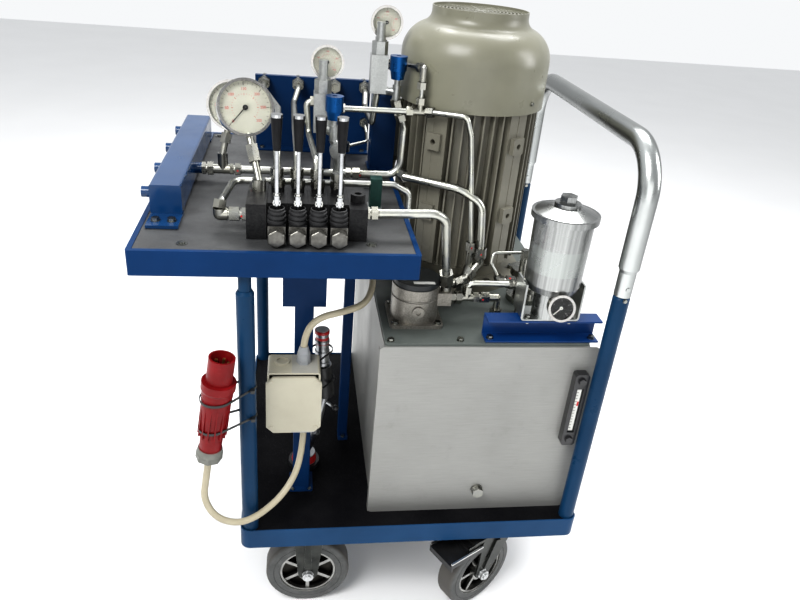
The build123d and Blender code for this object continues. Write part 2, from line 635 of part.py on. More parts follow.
with BuildPart() as filter_mount:
    block(at(512, 94, lid_top), at(762, 98, channel_top))
    for z in (lid_top, channel_top - 4):
        block(at(512, 60, z), at(762, 98, z + 4))
    fillet(filter_mount.edges().filter_by(Axis.X), 0.8)
    with BuildSketch(Plane(origin=at(can_x, 62, channel_top), x_dir=(1, 0, 0),
                           z_dir=(0, -1, 0))) as bracket:
        with BuildLine():
            Polyline((-64, 84), (-64, 0), (64, 0), (64, 84), (60, 84), (60, 4), (-60, 4), (-60, 84),
                     close=True)
        make_face()
        fillet(bracket.vertices().group_by(Axis.Y)[0], 9)
        fillet(bracket.vertices().filter_by(lambda corner: abs(corner.Y - 4) < 0.1), 5)
    extrude(amount=-60)

with BuildPart() as offline_filter:
    rod(at(can_x, can_y, channel_top + 4), at(can_x, can_y, can_bottom), 32)
    rod(at(can_x, can_y, can_bottom), at(can_x, can_y, can_bottom + 16), 52, end_radius=can_radius - 2)
    rod(at(can_x, can_y, can_bottom + 16), at(can_x, can_y, can_top), can_radius - 2,
        end_radius=can_radius)
    rod(at(can_x, can_y, can_bottom + 20), at(can_x, can_y, can_top - 6), 50, mode=Mode.SUBTRACT)
    rod(at(can_x, can_y, can_top), at(can_x, can_y, can_top + 12), 68)
    rod(at(can_x, can_y, can_top + 12), at(can_x, can_y, can_top + 24), 62, end_radius=30)
    rod(at(can_x, can_y, can_top + 24), at(can_x, can_y, can_top + 32), 26)
    hexagon(at(can_x, can_y, can_top + 32), at(can_x, can_y, can_top + 46), 30)

with BuildPart() as filter_elements:
    rod(at(return_x, return_y, 330), at(return_x, return_y, drum_top - 10), 31)
    rod(at(return_x, return_y, 329), at(return_x, return_y, drum_top - 9), 16, mode=Mode.SUBTRACT)
    rod(at(can_x, can_y, can_bottom + 22), at(can_x, can_y, can_top - 8), 47)
    rod(at(can_x, can_y, can_bottom + 21), at(can_x, can_y, can_top - 7), 14, mode=Mode.SUBTRACT)
    rod(at(motor_x - 90, (motor_y + driven_y) / 2, 340),
        at(motor_x - 90, (motor_y + driven_y) / 2, 470), 36)
    pipe([at(motor_x - 90, (motor_y + driven_y) / 2, 468),
          at(motor_x - 90, (motor_y + driven_y) / 2, 580),
          at(motor_x - 42.2, (motor_y + driven_y) / 2, 580)], 11, 30)

level_x, level_low, level_high = 733.5, 492.0, 684.0
panel_front = tank_front - 3

with BuildPart() as level_gauge:
    block(at(level_x - 16, panel_front - 20, level_low), at(level_x + 16, panel_front, level_high))
    fillet(level_gauge.edges().filter_by(Axis.Y), 7)
    block(at(level_x - 8, panel_front - 21, level_low + 36),
          at(level_x + 8, panel_front - 8, level_high - 36), mode=Mode.SUBTRACT)
    block(at(level_x - 7.9, panel_front - 16, level_low + 36.1),
          at(level_x + 7.9, panel_front - 12, level_high - 36.1))
    for z in (level_low + 17, level_high - 17):
        hexagon(at(level_x, panel_front - 20, z), at(level_x, panel_front - 26, z), 15)

# ---------------------------------------------------------------- pressure valves with gauges
short_block, tall_block = (167.0, 321.0, 1111.0), (288.0, 396.0, 1182.0)
block_size, block_height = 36.0, 80.0
left_knob, right_knob = (190.0, 281.0, 1146.0), (327.0, 374.0, 1216.0)
knob_radius, knob_height = 18.5, 48.0

with BuildPart() as pressure_blocks:
    for (x, y, z), (knob_x, knob_y, knob_z) in ((short_block, left_knob), (tall_block, right_knob)):
        half = block_size / 2
        block(at(x - half, y - half, z), at(x + half, y + half, z + block_height))
        top = z + block_height
        hexagon(at(x, y, top), at(x, y, top + 26), 30)
        rod(at(x, y, top + 26), at(x, y, top + 34), 11)
        rod(at(x, y, top + 34), at(x, y, top + 64), 9.2)
        rod(at(knob_x, knob_y, knob_z - 44), at(knob_x, knob_y, knob_z + 20), 6)
        rod(at(knob_x, knob_y, knob_z - 44), at(knob_x, knob_y, knob_z - 12), 9)
        rod(at(knob_x, knob_y, knob_z - 28), at(x + 4, y, knob_z - 28), 9)
    rod(at(199, 262, 1085), at(199, 282, 1085), 16.5)
    rod(at(199, 280, 1085), at(190, 281, 1104), 9)
    rod(at(199, 281, 1030), at(199, 281, 1075), 8)

knobs = []
for x, y, z in (left_knob, right_knob):
    with BuildPart() as knob:
        rod(at(x, y, z), at(x, y, z + 18), 13.5, end_radius=16.5)
        rod(at(x, y, z + 18), at(x, y, z + knob_height), knob_radius)
        rod(at(x, y, z - 1), at(x, y, z + 22), 6.06, mode=Mode.SUBTRACT)
        with BuildSketch(Plane(origin=at(x, y, z + knob_height - 5))) as socket:
            RegularPolygon(6, 6)
        extrude(socket.sketch, amount=6, mode=Mode.SUBTRACT)
    knobs.append(knob)

# name, middle of the dial's front, turn and lift of the face, bezel radius, foot of the stem
gauges = [
    ("main_pointer", (20, 190, 1184), 15, 19, 53.5, (45, 140, 1058)),
    ("system_pointer", (-22, 384, 1140), 0, 10, 53.5, (-45, 384, 1034)),
    ("left_valve_pointer", (176, 342, 1247), 0, 4, 34.5, (171, 352, 1195)),
    ("right_valve_pointer", (302, 414, 1323), 0, 4, 34.5, (292, 404, 1262)),
    ("filter_pointer", (645, 16, 855), -6, 14, 28.0, None),
]
dial_depth = 9.0


def dial_plane(middle, turn, lift):
    """Z out of the dial, X to its right."""
    yaw, pitch = radians(turn), radians(lift)
    out = Vector(sin(yaw) * cos(pitch), -cos(yaw) * cos(pitch), sin(pitch))
    return Plane(origin=at(*middle), x_dir=(cos(yaw), sin(yaw), 0), z_dir=out)


def cut_disc(radius, low, high):
    with Locations((0, 0, low)):
        Cylinder(radius, high - low, align=(Align.CENTER, Align.CENTER, Align.MIN),
                 mode=Mode.SUBTRACT)


def disc(radius, low, high):
    with Locations((0, 0, low)):
        Cylinder(radius, high - low, align=(Align.CENTER, Align.CENTER, Align.MIN))


def gauge_case(face, radius, depth):
    with BuildPart(face) as case:
        disc(radius, -7, 0)
        disc(radius - 3, -depth, -7)
        cut_disc(radius - 5, -dial_depth, 1)
        disc(1.0, -dial_depth - 1, -4.4)
    with BuildPart(face) as lens:
        disc(radius - 5.2, -3, -1)
    return case, lens


cases, lenses, pointers = [], [], []
for name, middle, turn, lift, radius, foot in gauges:
    face = dial_plane(middle, turn, lift)
    case, lens = gauge_case(face, radius, 34 if radius > 50 else 26)
    cases.append(case)
    lenses.append(lens)
    with BuildPart(face) as pointer:
        with BuildSketch(face.offset(-6.4)) as needle:
            Circle(radius * 0.07 + 1.4)
            with Locations(Location((0, 0, 0), (0, 0, 1), -135)):
                with Locations((radius * 0.32, 0)):
                    Rectangle(radius * 0.8, 1.6)
        extrude(needle.sketch, amount=1.2)
        cut_disc(1.05, -8, 0)
    pointers.append((pointer, name))

with BuildPart() as gauge_cases:
    for case in cases:
        add(case.part)

with BuildPart() as gauge_lenses:
    for lens in lenses:
        add(lens.part)

with BuildPart() as gauge_stems:
    for name, middle, turn, lift, radius, foot in gauges:
        if foot is None:
            continue
        face = dial_plane(middle, turn, lift)
        foot_point = Vector(at(*foot))
        neck = face.origin - face.z_dir * 16 + (foot_point - face.origin).normalized() * (radius - 6)
        size = 9 if radius > 50 else 7
        rod(neck, foot_point, size * 0.8)
        along = foot_point - neck
        hexagon(neck + along * 0.25, neck + along * 0.6, size * 2.4)

# ---------------------------------------------------------------- electrical parts
box_x0, box_x1, box_y0, box_y1, box_z0, box_z1 = 60.0, 170.0, 62.0, post_y - 4, 524.0, 672.0
cable_radius = 7.25
top_gland, bottom_gland = (135.0, 104.0, 712.0), (138.0, 100.0, 508.0)

with BuildPart() as junction_box:
    block(at(box_x0, box_y0, box_z0), at(box_x1, box_y1, box_z1))
    fillet(junction_box.edges().filter_by(Axis.Y), 7)
    block(at(box_x0 + 4, box_y0 - 1, box_z0 + 4), at(box_x1 - 4, box_y1 - 4, box_z1 - 4),
          mode=Mode.SUBTRACT)
    lid_middle = at((box_x0 + box_x1) / 2, box_y0, (box_z0 + box_z1) / 2 - 5)
    with BuildSketch(Plane(origin=lid_middle, x_dir=(1, 0, 0), z_dir=(0, -1, 0))) as cover:
        Rectangle(116, 142)
        chamfer(cover.vertices(), 15)
    extrude(amount=7)
    for x in (box_x0 + 8, box_x1 - 8):
        for z in (box_z0 + 12, box_z1 - 20):
            rod(at(x, box_y0 - 7, z), at(x, box_y0 - 8.5, z), 5)
    rod(at(90, 104, box_z1), at(90, 104, box_z1 + 5), 16)
    rod(at(90, 104, box_z1 + 1), at(90, 104, box_z1 + 6), 11.5, mode=Mode.SUBTRACT)
    for (x, y, mouth), face, way in ((top_gland, box_z1, 1), (bottom_gland, box_z0, -1)):
        hexagon(at(x, y, face), at(x, y, face + way * 8), 27)
        length = abs(mouth - face) - 8
        rod(at(x, y, face + way * 8), at(x, y, face + way * (8 + length / 2)), 14)
        rod(at(x, y, face + way * (8 + length / 2)), at(x, y, mouth), 13, end_radius=9)


def cord_bends(points):
    """The bend radius at each inner point, from the shorter run and the turn there."""
    radii = []
    for before, here, after in zip(points, points[1:], points[2:]):
        first = Vector(here) - Vector(before)
        second = Vector(after) - Vector(here)
        half_turn = radians(first.get_angle(second)) / 2
        radii.append(0.45 * min(first.length, second.length) / tan(half_turn))
    return radii


supply_points = [at(138, 100, 508), at(136, 92, 446), at(118, 62, 385), at(75, 20, 350),
                 at(12, -22, 336), at(-44, -28, 358), at(-71, -23, 412), at(-63, -18, 467),
                 at(-55, -18, 522)]
motor_cable_points = [at(135, 104, 712), at(138, 105, 748), at(165, 108, 779),
                      at(212, 112, 790), at(258, 124, 800), at(278, 158, 818),
                      at(283, 215, 836), at(284, 280, 848), at(290, 350, 858),
                      at(300, 420, 866), at(318, 490, 874), at(340, 550, 890),
                      at(356, 590, 926), at(366, 604, 972)]
plug_base = Plane(origin=at(-55, -18, 522), z_dir=(35, 0, 241))
plug_length = 243.5
bore_low = 198.0

with BuildPart() as supply_cable:
    supply_length = pipe(supply_points, cable_radius, cord_bends(supply_points))

with BuildPart() as motor_cable:
    motor_cable_length = pipe(motor_cable_points, cable_radius, cord_bends(motor_cable_points))

for cable, points, length in ((supply_cable, supply_points, supply_length),
                              (motor_cable, motor_cable_points, motor_cable_length)):
    radii = " ".join(f"{radius:.0f}" for radius in cord_bends(points))
    expected = pi * cable_radius ** 2 * length
    print(f"cable {length:.0f} mm, bends {radii}, volume ratio {cable.part.volume / expected:.4f}")

with BuildPart(plug_base) as cee_plug:
    with BuildSketch(plug_base) as plug_nut:
        RegularPolygon(27, 8)
    extrude(amount=14)
    for low, high, radius, top_radius in ((14, 27, 27, 24), (27, 58, 22, 23), (58, 168, 24, 31),
                                          (168, 174, 31, 33.5), (174, 190, 33.5, 33.5),
                                          (190, plug_length, 25.5, 25.5)):
        with Locations((0, 0, low)):
            Cone(radius, top_radius + 0.001 * (radius == top_radius), high - low,
                 align=(Align.CENTER, Align.CENTER, Align.MIN))
    with BuildSketch(plug_base.offset(62)) as ribs:
        with PolarLocations(25.5, 14):
            Rectangle(7, 3)
    extrude(amount=88)
    cut_disc(21.5, bore_low, plug_length + 1)
    with BuildSketch(plug_base.offset(bore_low - 1)) as pins:
        with PolarLocations(13, 5):
            Circle(3.2)
    extrude(amount=36)


def tie(z, height, first, second):
    """A strap round two upright rods, each given as x, y and radius."""
    for gap, mode in ((1.8, Mode.ADD), (0.4, Mode.SUBTRACT)):
        with BuildSketch(Plane(origin=at(0, 0, z))) as loop:
            for x, y, radius in (first, second):
                with Locations((x, y)):
                    Circle(radius + gap)
            make_hull()
        extrude(loop.sketch, amount=height, mode=mode)


front_left_upright = (upright_inset, upright_inset, upright_radius)
with BuildPart() as straps_and_clamp:
    for z in (598, 668):
        with BuildPart(mode=Mode.PRIVATE) as strap:
            tie(z, 5, (-55 + (z - 522) * 35 / 241, -18, 27 + (z - 598) * 0.06), front_left_upright)
            block(at(upright_inset + 8, 2.5 - 6, z - 1), at(upright_inset + 16, 2.5 + 4, z + 6))
        add(strap.part)
    for z, device_x in ((560, 186), (640, 179)):
        with BuildPart(mode=Mode.PRIVATE) as strap:
            tie(z, 5, (device_x, 203, 22), (post_x, post_y + post_width / 2, 29))
        add(strap.part)
    block(at(266, 226, tray_top), at(294, 262, tray_top + 6))
    block(at(268, 228, tray_top + 6), at(292, 254, 1040))

terminal_out = (cos(radians(122)), sin(radians(122)), 0)
terminal_plane = Plane(origin=at(motor_x, motor_y, 1048), x_dir=terminal_out, z_dir=(0, 0, 1))

with BuildPart(terminal_plane) as motor_terminal_box:
    block((134, -46, -40), (168, 46, 40))
    block((160, -64, -58), (206, 64, 58))
    block((206, -67, -61), (222, 67, 61))
    for y in (-56, 56):
        for z in (-50, 50):
            with Locations(Plane(origin=(221, y, z), z_dir=(1, 0, 0))):
                Cylinder(4.5, 4)
    gland_spot = terminal_plane.to_local_coords(Vector(at(366, 604, 972)))
    with Locations((gland_spot.X, gland_spot.Y, (gland_spot.Z - 58) / 2)):
        Cylinder(12.5, abs(gland_spot.Z + 58))

# ---------------------------------------------------------------- device stowed behind the post
with BuildPart() as stowed_pump:
    rod(at(143, 232, deck_top), at(143, 232, deck_top + 12), 38)
    rod(at(143, 232, deck_top + 12), at(143, 232, deck_top + 34), 31, end_radius=27)
    rod(at(143, 232, deck_top + 30), at(168, 204, 406), 12)
    rod(at(168, 204, 404), at(189, 204, 520), 9)
    rod(at(189, 204, 516), at(180, 204, 600), 21)
    rod(at(180, 204, 598), at(177, 204, 694), 15)
    for z in (604, 632, 660, 684):
        rod(at(179.5 - (z - 600) * 0.03, 204, z), at(179.5 - (z - 600) * 0.03, 204, z + 8), 17)
    rod(at(186, 204, 496), at(212, 198, 480), 4)
    with Locations(at(214, 197, 479)):
        Sphere(8)

# ---------------------------------------------------------------- pipework
pipe_large, pipe_middle, pipe_small = 9.0, 7.0, 4.5
pipe_cross = 6.2
union_x = [78.0, 116.0, 154.0]

with BuildPart() as steel_pipes:
    pipe([at(262, 90, 1018), at(402, 90, 1022), at(431, 148, 868)], pipe_large, 36)
    rod(at(-87, outlet_y, 1000), at(262, outlet_y, 1000), pipe_large)
    pipe([at(262, outlet_y, 1000), at(350, outlet_y, 1000), at(354, 392, 1110),
          at(330, 376, 1166)], pipe_large, [34, 30])
    pipe([at(352, 340, 1012), at(470, 279, 1008), at(524, 273, 976), at(534, 273, 868)],
         pipe_large, [60, 40])
    rod(at(206, 325, 1159), at(366, 325, 1160), pipe_cross)
    pipe([at(384, 325, 1160), at(400, 314, 1163), at(466, 277, 1166), at(480, 277, 1126),
          at(512, 277, 880)], pipe_cross, [12, 14, 40])
    rod(at(374, 325, 1164), at(374, 325, 1246), pipe_small)
    pipe([at(374, 325, 1250), at(346, 402, 1243), at(304, 402, 1240)], pipe_small, 9)
    pipe([at(-28, 105, 1012), at(-23, 118, 1026), at(-10, 240, 1024), at(318, 240, 1026),
          at(352, 244, 1008), at(356, 246, 820)], pipe_middle, [8, 26, 16, 16])
    pipe([at(35, 640, 1139), at(35, 590, 1136), at(74, 420, 1130), at(78, 160, 1118),
          at(78, 150, 1066)], pipe_middle, [20, 26, 16])
    pipe([at(118, 640, 1139), at(118, 596, 1136), at(108, 540, 1116), at(112, 300, 1118),
          at(116, 160, 1112), at(116, 150, 1066)], pipe_middle, [20, 26, 26, 12])
    pipe([at(152, 321, 1172), at(134, 321, 1170), at(140, 321, 1104), at(152, 160, 1098),
          at(154, 150, 1064)], pipe_cross, [10, 14, 12])
    pipe([at(288, 640, 1050), at(292, 618, 1032), at(288, 560, 1026), at(238, 545, 1016)],
         4, [10, 12])
    pipe([at(284, 640, 1139), at(282, 600, 1132), at(278, 560, 1112), at(282, 412, 1110),
          at(288, 396, 1184)], pipe_middle, [16, 16, 10])
    pipe([at(486, 160, 812), at(486, 160, 838), at(585, 152, 840)], pipe_middle, 12)
    pipe([at(620, 212, 889), at(548, 212, 887), at(543, 205, 866), at(560, 200, 838)], 3.5,
         [10, 8])

with BuildPart() as pipe_fittings:
    add(gauge_stems.part)
    # valve outlet and inlet
    nut(at(246, 90, 1018), at(272, 90, 1018.6), 13)
    hexagon(at(431, 148, 868), at(437, 160, 836), 27)
    rod(at(436, 158, 846), at(439, 162, 812), 11)
    nut(at(26, 105, 1004), at(-14, 105, 1004), 13)
    elbow(at(-26, 105, 1004), (at(-12, 105, 1004), at(-26, 105, 1016)), 16)
    hexagon(at(-27.5, 106, 1014), at(-25, 113, 1028), 22)
    # collector outlet, tee under the second gauge and the run behind the bank
    nut(at(-90, outlet_y, 1000), at(-62, outlet_y, 1000), 14)
    rod(at(-62, outlet_y, 1000), at(-26, outlet_y, 1000), 11)
    rod(at(-45, outlet_y, 1000), at(-45, outlet_y, 1036), 11)
    nut(at(-30, outlet_y, 1000), at(-4, outlet_y, 1000), 12.5)
    nut(at(226, outlet_y, 1000), at(262, outlet_y, 1000), 12.5)
    rod(at(45, 140, 1036), at(45, 140, 1062), 13)
    # unions on the valve sections
    for x in section_x:
        hexagon(at(x, 150, bank_top + 10), at(x, 150, bank_top + 24), 24)
        rod(at(x, 150, bank_top + 24), at(x, 150, bank_top + 32), 9)
    for x in union_x:
        hexagon(at(x, 150, bank_top + 28), at(x, 150, bank_top + 46), 22)
    hexagon(at(section_x[3], 150, bank_top + 28), at(section_x[3], 150, bank_top + 40), 22)
    # bulkhead unions: nuts either side of the plate and the male ends behind it
    for x in bulkhead_x:
        hexagon(at(x, plate_y - 16, bulkhead_z), at(x, plate_y, bulkhead_z), 27)
        hexagon(at(x, plate_y - 34, bulkhead_z), at(x, plate_y - 16, bulkhead_z), 24)
        rod(at(x, plate_y, bulkhead_z), at(x, plate_y + 4, bulkhead_z), 11.2)
        hexagon(at(x, plate_y + 4, bulkhead_z), at(x, plate_y + 14, bulkhead_z), 30)
        rod(at(x, plate_y + 14, bulkhead_z), at(x, plate_y + 44, bulkhead_z), 11)
    hexagon(at(288, plate_y - 14, 1050), at(288, plate_y, 1050), 22)
    rod(at(288, plate_y - 26, 1050), at(288, plate_y + 8, 1050), 9.2)
    hexagon(at(288, plate_y + 4, 1050), at(288, plate_y + 14, 1050), 24)
    rod(at(288, plate_y + 14, 1050), at(288, plate_y + 30, 1050), 8.5)
    # work port without a pipe to the bank, plugged in front of the plate
    rod(at(bulkhead_x[2], plate_y - 44, bulkhead_z), at(bulkhead_x[2], plate_y - 34, bulkhead_z), 9)
    # pressure transmitter on the small line
    rod(at(228, 545, 1004), at(228, 545, 1026), 17.5)
    rod(at(228, 545, tray_top), at(228, 545, 1004), 9)
    # right block: nuts at the knob and at the riser
    hexagon(at(333, 378, 1158), at(328, 375, 1174), 24)
    hexagon(at(346, 387, 1128), at(340, 383, 1142), 24)
    hexagon(at(374, 325, 1176), at(374, 325, 1190), 19)
    hexagon(at(374, 325, 1208), at(374, 325, 1222), 19)
    elbow(at(374, 325, 1250), (at(374, 325, 1224), at(370, 336, 1249)), 9)
    hexagon(at(371, 333, 1249.3), at(366.5, 345.5, 1248.1), 18)
    hexagon(at(322, 402, 1241.3), at(306, 402, 1240.2), 18)
    # left block: nut to the cross line and its tee by the motor
    rod(at(184, 325, 1159), at(196, 325, 1159), 7.5)
    hexagon(at(194, 325, 1159), at(208, 325, 1159), 21)
    hexagon(at(208, 325, 1159), at(214, 325, 1159), 18)
    hexagon(at(344, 325, 1160), at(358, 325, 1160), 19)
    elbow(at(374, 325, 1160), (at(358, 325, 1160), at(390, 325, 1160), at(374, 325, 1176)), 9)
    hexagon(at(388, 323, 1160.5), at(402, 313, 1163), 20)
    hexagon(at(152, 321, 1172), at(142, 321, 1171.5), 18)
    # start of the large run past the motor
    hexagon(at(350, 352, 1012), at(358, 337, 1012), 24)
    elbow(at(350, 360, 1005), (at(350, 383, 1002), at(351, 350, 1012)), 10)
    # ends of the three falling pipes and the return gallery on the lid
    hexagon(at(511.5, 277, 884), at(513, 277, 862), 20)
    rod(at(513, 277, 862), at(513, 277, 818), 9)
    hexagon(at(534, 273, 872), at(535, 273, 846), 27)
    elbow(at(535, 273, 832), (at(535, 273, 848), at(516, 262, 812)), 12)
    hexagon(at(520, 264, 816), at(508, 257, 804), 25)
    elbow(at(500, 252, 806), (at(513, 277, 822), at(470, 228, 806), at(500, 252, 780)), 12)
    hexagon(at(484, 239, 806), at(466, 225, 806), 25)
    rod(at(466, 225, 806), at(414, 190, 806), 11)
    hexagon(at(448, 212, 806), at(432, 201, 806), 24)
    hexagon(at(500, 252, 792), at(500, 252, 770), 27)
    rod(at(500, 252, 776), at(500, 252, lid_top), 10)
    nut(at(448, 158, 803), at(476, 160, 803), 13)
    elbow(at(486, 160, 803), (at(474, 160, 803), at(514, 160, 803), at(486, 160, 816)), 11)
    hexagon(at(486, 160, 814), at(486, 160, 830), 20)
    nut(at(500, 160, 803), at(540, 160, 803), 12)
    rod(at(536, 160, 803), at(556, 160, 803), 9)
    elbow(at(556, 160, 803), (at(556, 160, lid_top),), 9)
    hexagon(at(556, 160, 776), at(556, 160, 760), 24)
    nut(at(574, 153, 839.5), at(600, 151, 840), 11)
    rod(at(590, 152, 840), at(616, 118, 840), 8)
    # valve beside the can and its way down to the lid
    hexagon(at(560, 200, 838), at(566, 198, 822), 16)
    nut(at(562, 197, 824), at(606, 193, 824), 13)
    rod(at(604, 193, 824), at(636, 190, 824), 14)
    hexagon(at(636, 190, 824), at(648, 189, 824), 26)
    elbow(at(620, 192, 824), (at(620, 192, lid_top),), 11)
    hexagon(at(620, 192, 792), at(620, 192, 774), 27)
    rod(at(620, 212, 824), at(620, 212, 884), 8)
    rod(at(620, 196, 824), at(620, 214, 824), 10)
    hexagon(at(620, 212, 876), at(620, 212, 896), 17)
    # lower end of the pipe past the tray
    hexagon(at(356, 246, 826), at(356, 246, 806), 22)
    rod(at(356, 246, 810), at(356, 246, lid_top), 9)
    hexagon(at(356, 246, 772), at(356, 246, 756), 25)
    # breather on the lid
    rod(at(650, 260, lid_top), at(650, 260, lid_top + 14), 40)
    rod(at(650, 260, lid_top + 14), at(650, 260, lid_top + 64), 24)
    rod(at(650, 260, lid_top + 64), at(650, 260, lid_top + 82), 38)
    rod(at(650, 260, lid_top + 82), at(650, 260, lid_top + 90), 14)
    # drain plug on the front panel
    rod(at(545, panel_front, 347), at(545, panel_front - 4, 347), 15)
    hexagon(at(545, panel_front - 4, 347), at(545, panel_front - 15, 347), 24)

# ---------------------------------------------------------------- screws and bolts
down, up = (0, 0, -1), (0, 0, 1)

with BuildPart() as fasteners:
    for x, y in ((312, 68), (312, 400), (312, 720), (732, 400), (560, 720), (460, 70)):
        bolt(at(x, y, lid_top), up, 7)
    for x in (header_x0 + 15, header_x1 - 15):
        for y in (header_y0 - 35, header_y1 + 35):
            bolt(at(x, y, header_z), up, 8)
    for x, y in ((-88, 37), (257, 49), (-88, 745), (257, 745)):
        rod(at(x, y, tray_top - 1), at(x, y, tray_top + 0.6), 10)
        rod(at(x, y, tray_top + 0.6), at(x, y, tray_top + 3), 5.5)
    for turn in range(8):
        angle = radians(22.5 + 45 * turn)
        bolt(at(motor_x + 157 * cos(angle), motor_y + 157 * sin(angle), flange_top), up, 9)
    for turn in range(4):
        angle = radians(40 + 90 * turn)
        spot = Vector(at(motor_x + cowl_radius * cos(angle), motor_y + cowl_radius * sin(angle), 1189))
        bolt(spot, (cos(angle), sin(angle), 0), 4.5)
    for x in (return_x - 46, return_x + 46):
        for y in (return_y - 46, return_y + 46):
            bolt(at(x, y, lid_top + 8), up, 7)
    for x in (524, 750):
        bolt(at(x, 74, lid_top + 4), up, 7)
    for x in (598, 690):
        bolt(at(x, 72, channel_top + 4), up, 6)
        bolt(at(x, 72, channel_top - 4), down, 6)
    for x in (-20, 20):
        bolt(at(post_x + x, post_y - 8.2, deck_top + 5), up, 4)
        bolt(at(post_x + 1.7 * x, post_y - 4, 900), (0, -1, 0), 5)
    bolt(at(leg_x, leg_y - 10, deck_top + 5), up, 5)
    for caster_x in (fixed_x, swivel_x):
        for y in caster_rows:
            for dx in (-58, 58):
                for dy in (-42, 42):
                    bolt(at(caster_x + dx, y + dy, caster_top - 4), down, 5)
    for x, y in corner_points[2:]:
        bolt(at(x, y - upright_radius + 0.3, 880), (0, -1, 0), 4)
    for x in (plate_x0 + 16, plate_x1 - 16):
        bolt(at(x, plate_y - 14, tray_top + 4), up, 6)
    bolt(at(221, 74, bank_top - 8), up, 4)

for builder, name in (
    (tank_body, "tank_body"), (tank_lid, "tank_lid"), (motor_housing, "motor_housing"),
    (motor_fan_cowl, "motor_fan_cowl"), (motor_terminal_box, "motor_terminal_box"),
    (rotor_with_fan, "motor_rotor"), (pump_housing, "pump_housing"),
    (pump_driven_gear, "pump_driven_gear"), (return_filter, "return_filter"),
    (offline_filter, "offline_filter"), (filter_mount, "filter_mount"),
    (filter_elements, "filter_elements"), (level_gauge, "level_gauge"),
    (pressure_blocks, "pressure_blocks"), (knobs[0], "left_adjusting_knob"),
    (knobs[1], "right_adjusting_knob"), (gauge_cases, "gauge_cases"),
    (gauge_lenses, "gauge_lenses"), (junction_box, "junction_box"),
    (supply_cable, "supply_cable"), (cee_plug, "cee_plug"), (motor_cable, "motor_cable"),
    (straps_and_clamp, "straps_and_clamp"), (stowed_pump, "stowed_pump"), (steel_pipes, "steel_pipes"),
    (pipe_fittings, "pipe_fittings"), (fasteners, "fasteners"),
):
    finish(builder, name)
for pointer, name in pointers:
    finish(pointer, name)
print(len(finished), "sub-parts")

# ---------------------------------------------------------------- write the sub-parts
os.makedirs("parts", exist_ok=True)
for part in finished:
    export_step(part, f"parts/{part.label}.step")
    box = part.bounding_box()
    print(f"{part.label:24s} solids {len(part.solids()):3d}  volume {part.volume:12.0f}"
          f"  x {box.min.X:8.1f} {box.max.X:8.1f}  y {box.min.Y:8.1f} {box.max.Y:8.1f}"
          f"  z {box.min.Z:8.1f} {box.max.Z:8.1f}")
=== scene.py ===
import bpy, bmesh, json
from math import cos, pi, radians, sin
from mathutils import Matrix, Vector


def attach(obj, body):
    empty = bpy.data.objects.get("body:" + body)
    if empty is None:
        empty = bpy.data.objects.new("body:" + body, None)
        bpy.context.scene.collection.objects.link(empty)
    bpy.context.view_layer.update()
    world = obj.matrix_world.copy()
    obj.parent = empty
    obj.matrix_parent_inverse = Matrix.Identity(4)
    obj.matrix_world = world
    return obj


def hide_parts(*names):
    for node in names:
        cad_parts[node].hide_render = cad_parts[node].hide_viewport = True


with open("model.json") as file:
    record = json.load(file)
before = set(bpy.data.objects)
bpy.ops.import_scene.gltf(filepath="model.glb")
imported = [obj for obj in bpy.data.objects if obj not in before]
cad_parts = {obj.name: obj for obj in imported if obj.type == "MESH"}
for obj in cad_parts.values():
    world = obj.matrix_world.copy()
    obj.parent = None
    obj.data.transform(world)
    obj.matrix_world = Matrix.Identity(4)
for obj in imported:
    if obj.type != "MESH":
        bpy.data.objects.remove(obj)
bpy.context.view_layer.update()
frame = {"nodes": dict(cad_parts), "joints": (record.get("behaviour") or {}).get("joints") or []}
nodes = frame["nodes"]

# ------------------------------------------------------------------ frame helpers
LEFT, FRONT = -302.5, -364.5


def at(x, y, z):
    """Metres, from x from the platform's left edge, y from its front edge and z, in mm."""
    return Vector(((LEFT + x) / 1000, (FRONT + y) / 1000, z / 1000))


# the row of four levers, in mm
FIRST_LEVER_X, LEVER_PITCH, LEVER_Y = 80, 38, 60


def lever_foot(index):
    """The point under a lever, the levers counted from 0 on the left."""
    return at(FIRST_LEVER_X + LEVER_PITCH * index, LEVER_Y, 0)


def joint_of(name):
    """The frame's joint of that name."""
    for joint in frame["joints"]:
        if joint["name"] == name:
            return joint
    raise KeyError(name)


# ------------------------------------------------------------------ camera
# the photo's own camera: its place, its lens and the way it looks
camera_data = bpy.data.cameras.new("camera")
camera = bpy.data.objects.new("camera", camera_data)
bpy.context.scene.collection.objects.link(camera)
right = Vector((0.98882523, -0.12582179, 0.07995969))
down = Vector((0.01064111, -0.47541832, -0.87969551))
ahead = Vector((0.14869916, 0.87071597, -0.46876674))
turn = Matrix((right, -down, -ahead)).transposed().to_4x4()
camera.matrix_world = Matrix.Translation(at(110.184, -1165.81, 1506.998)) @ turn
camera_data.sensor_width = 36.0
camera_data.lens = 31.724
camera_data.shift_x = 1.413 / 800
camera_data.shift_y = 0.353 / 800
camera_data.clip_end = 50
bpy.context.scene.camera = camera


# ------------------------------------------------------------------ material helpers
EDGE_WIDTH = 0.0011


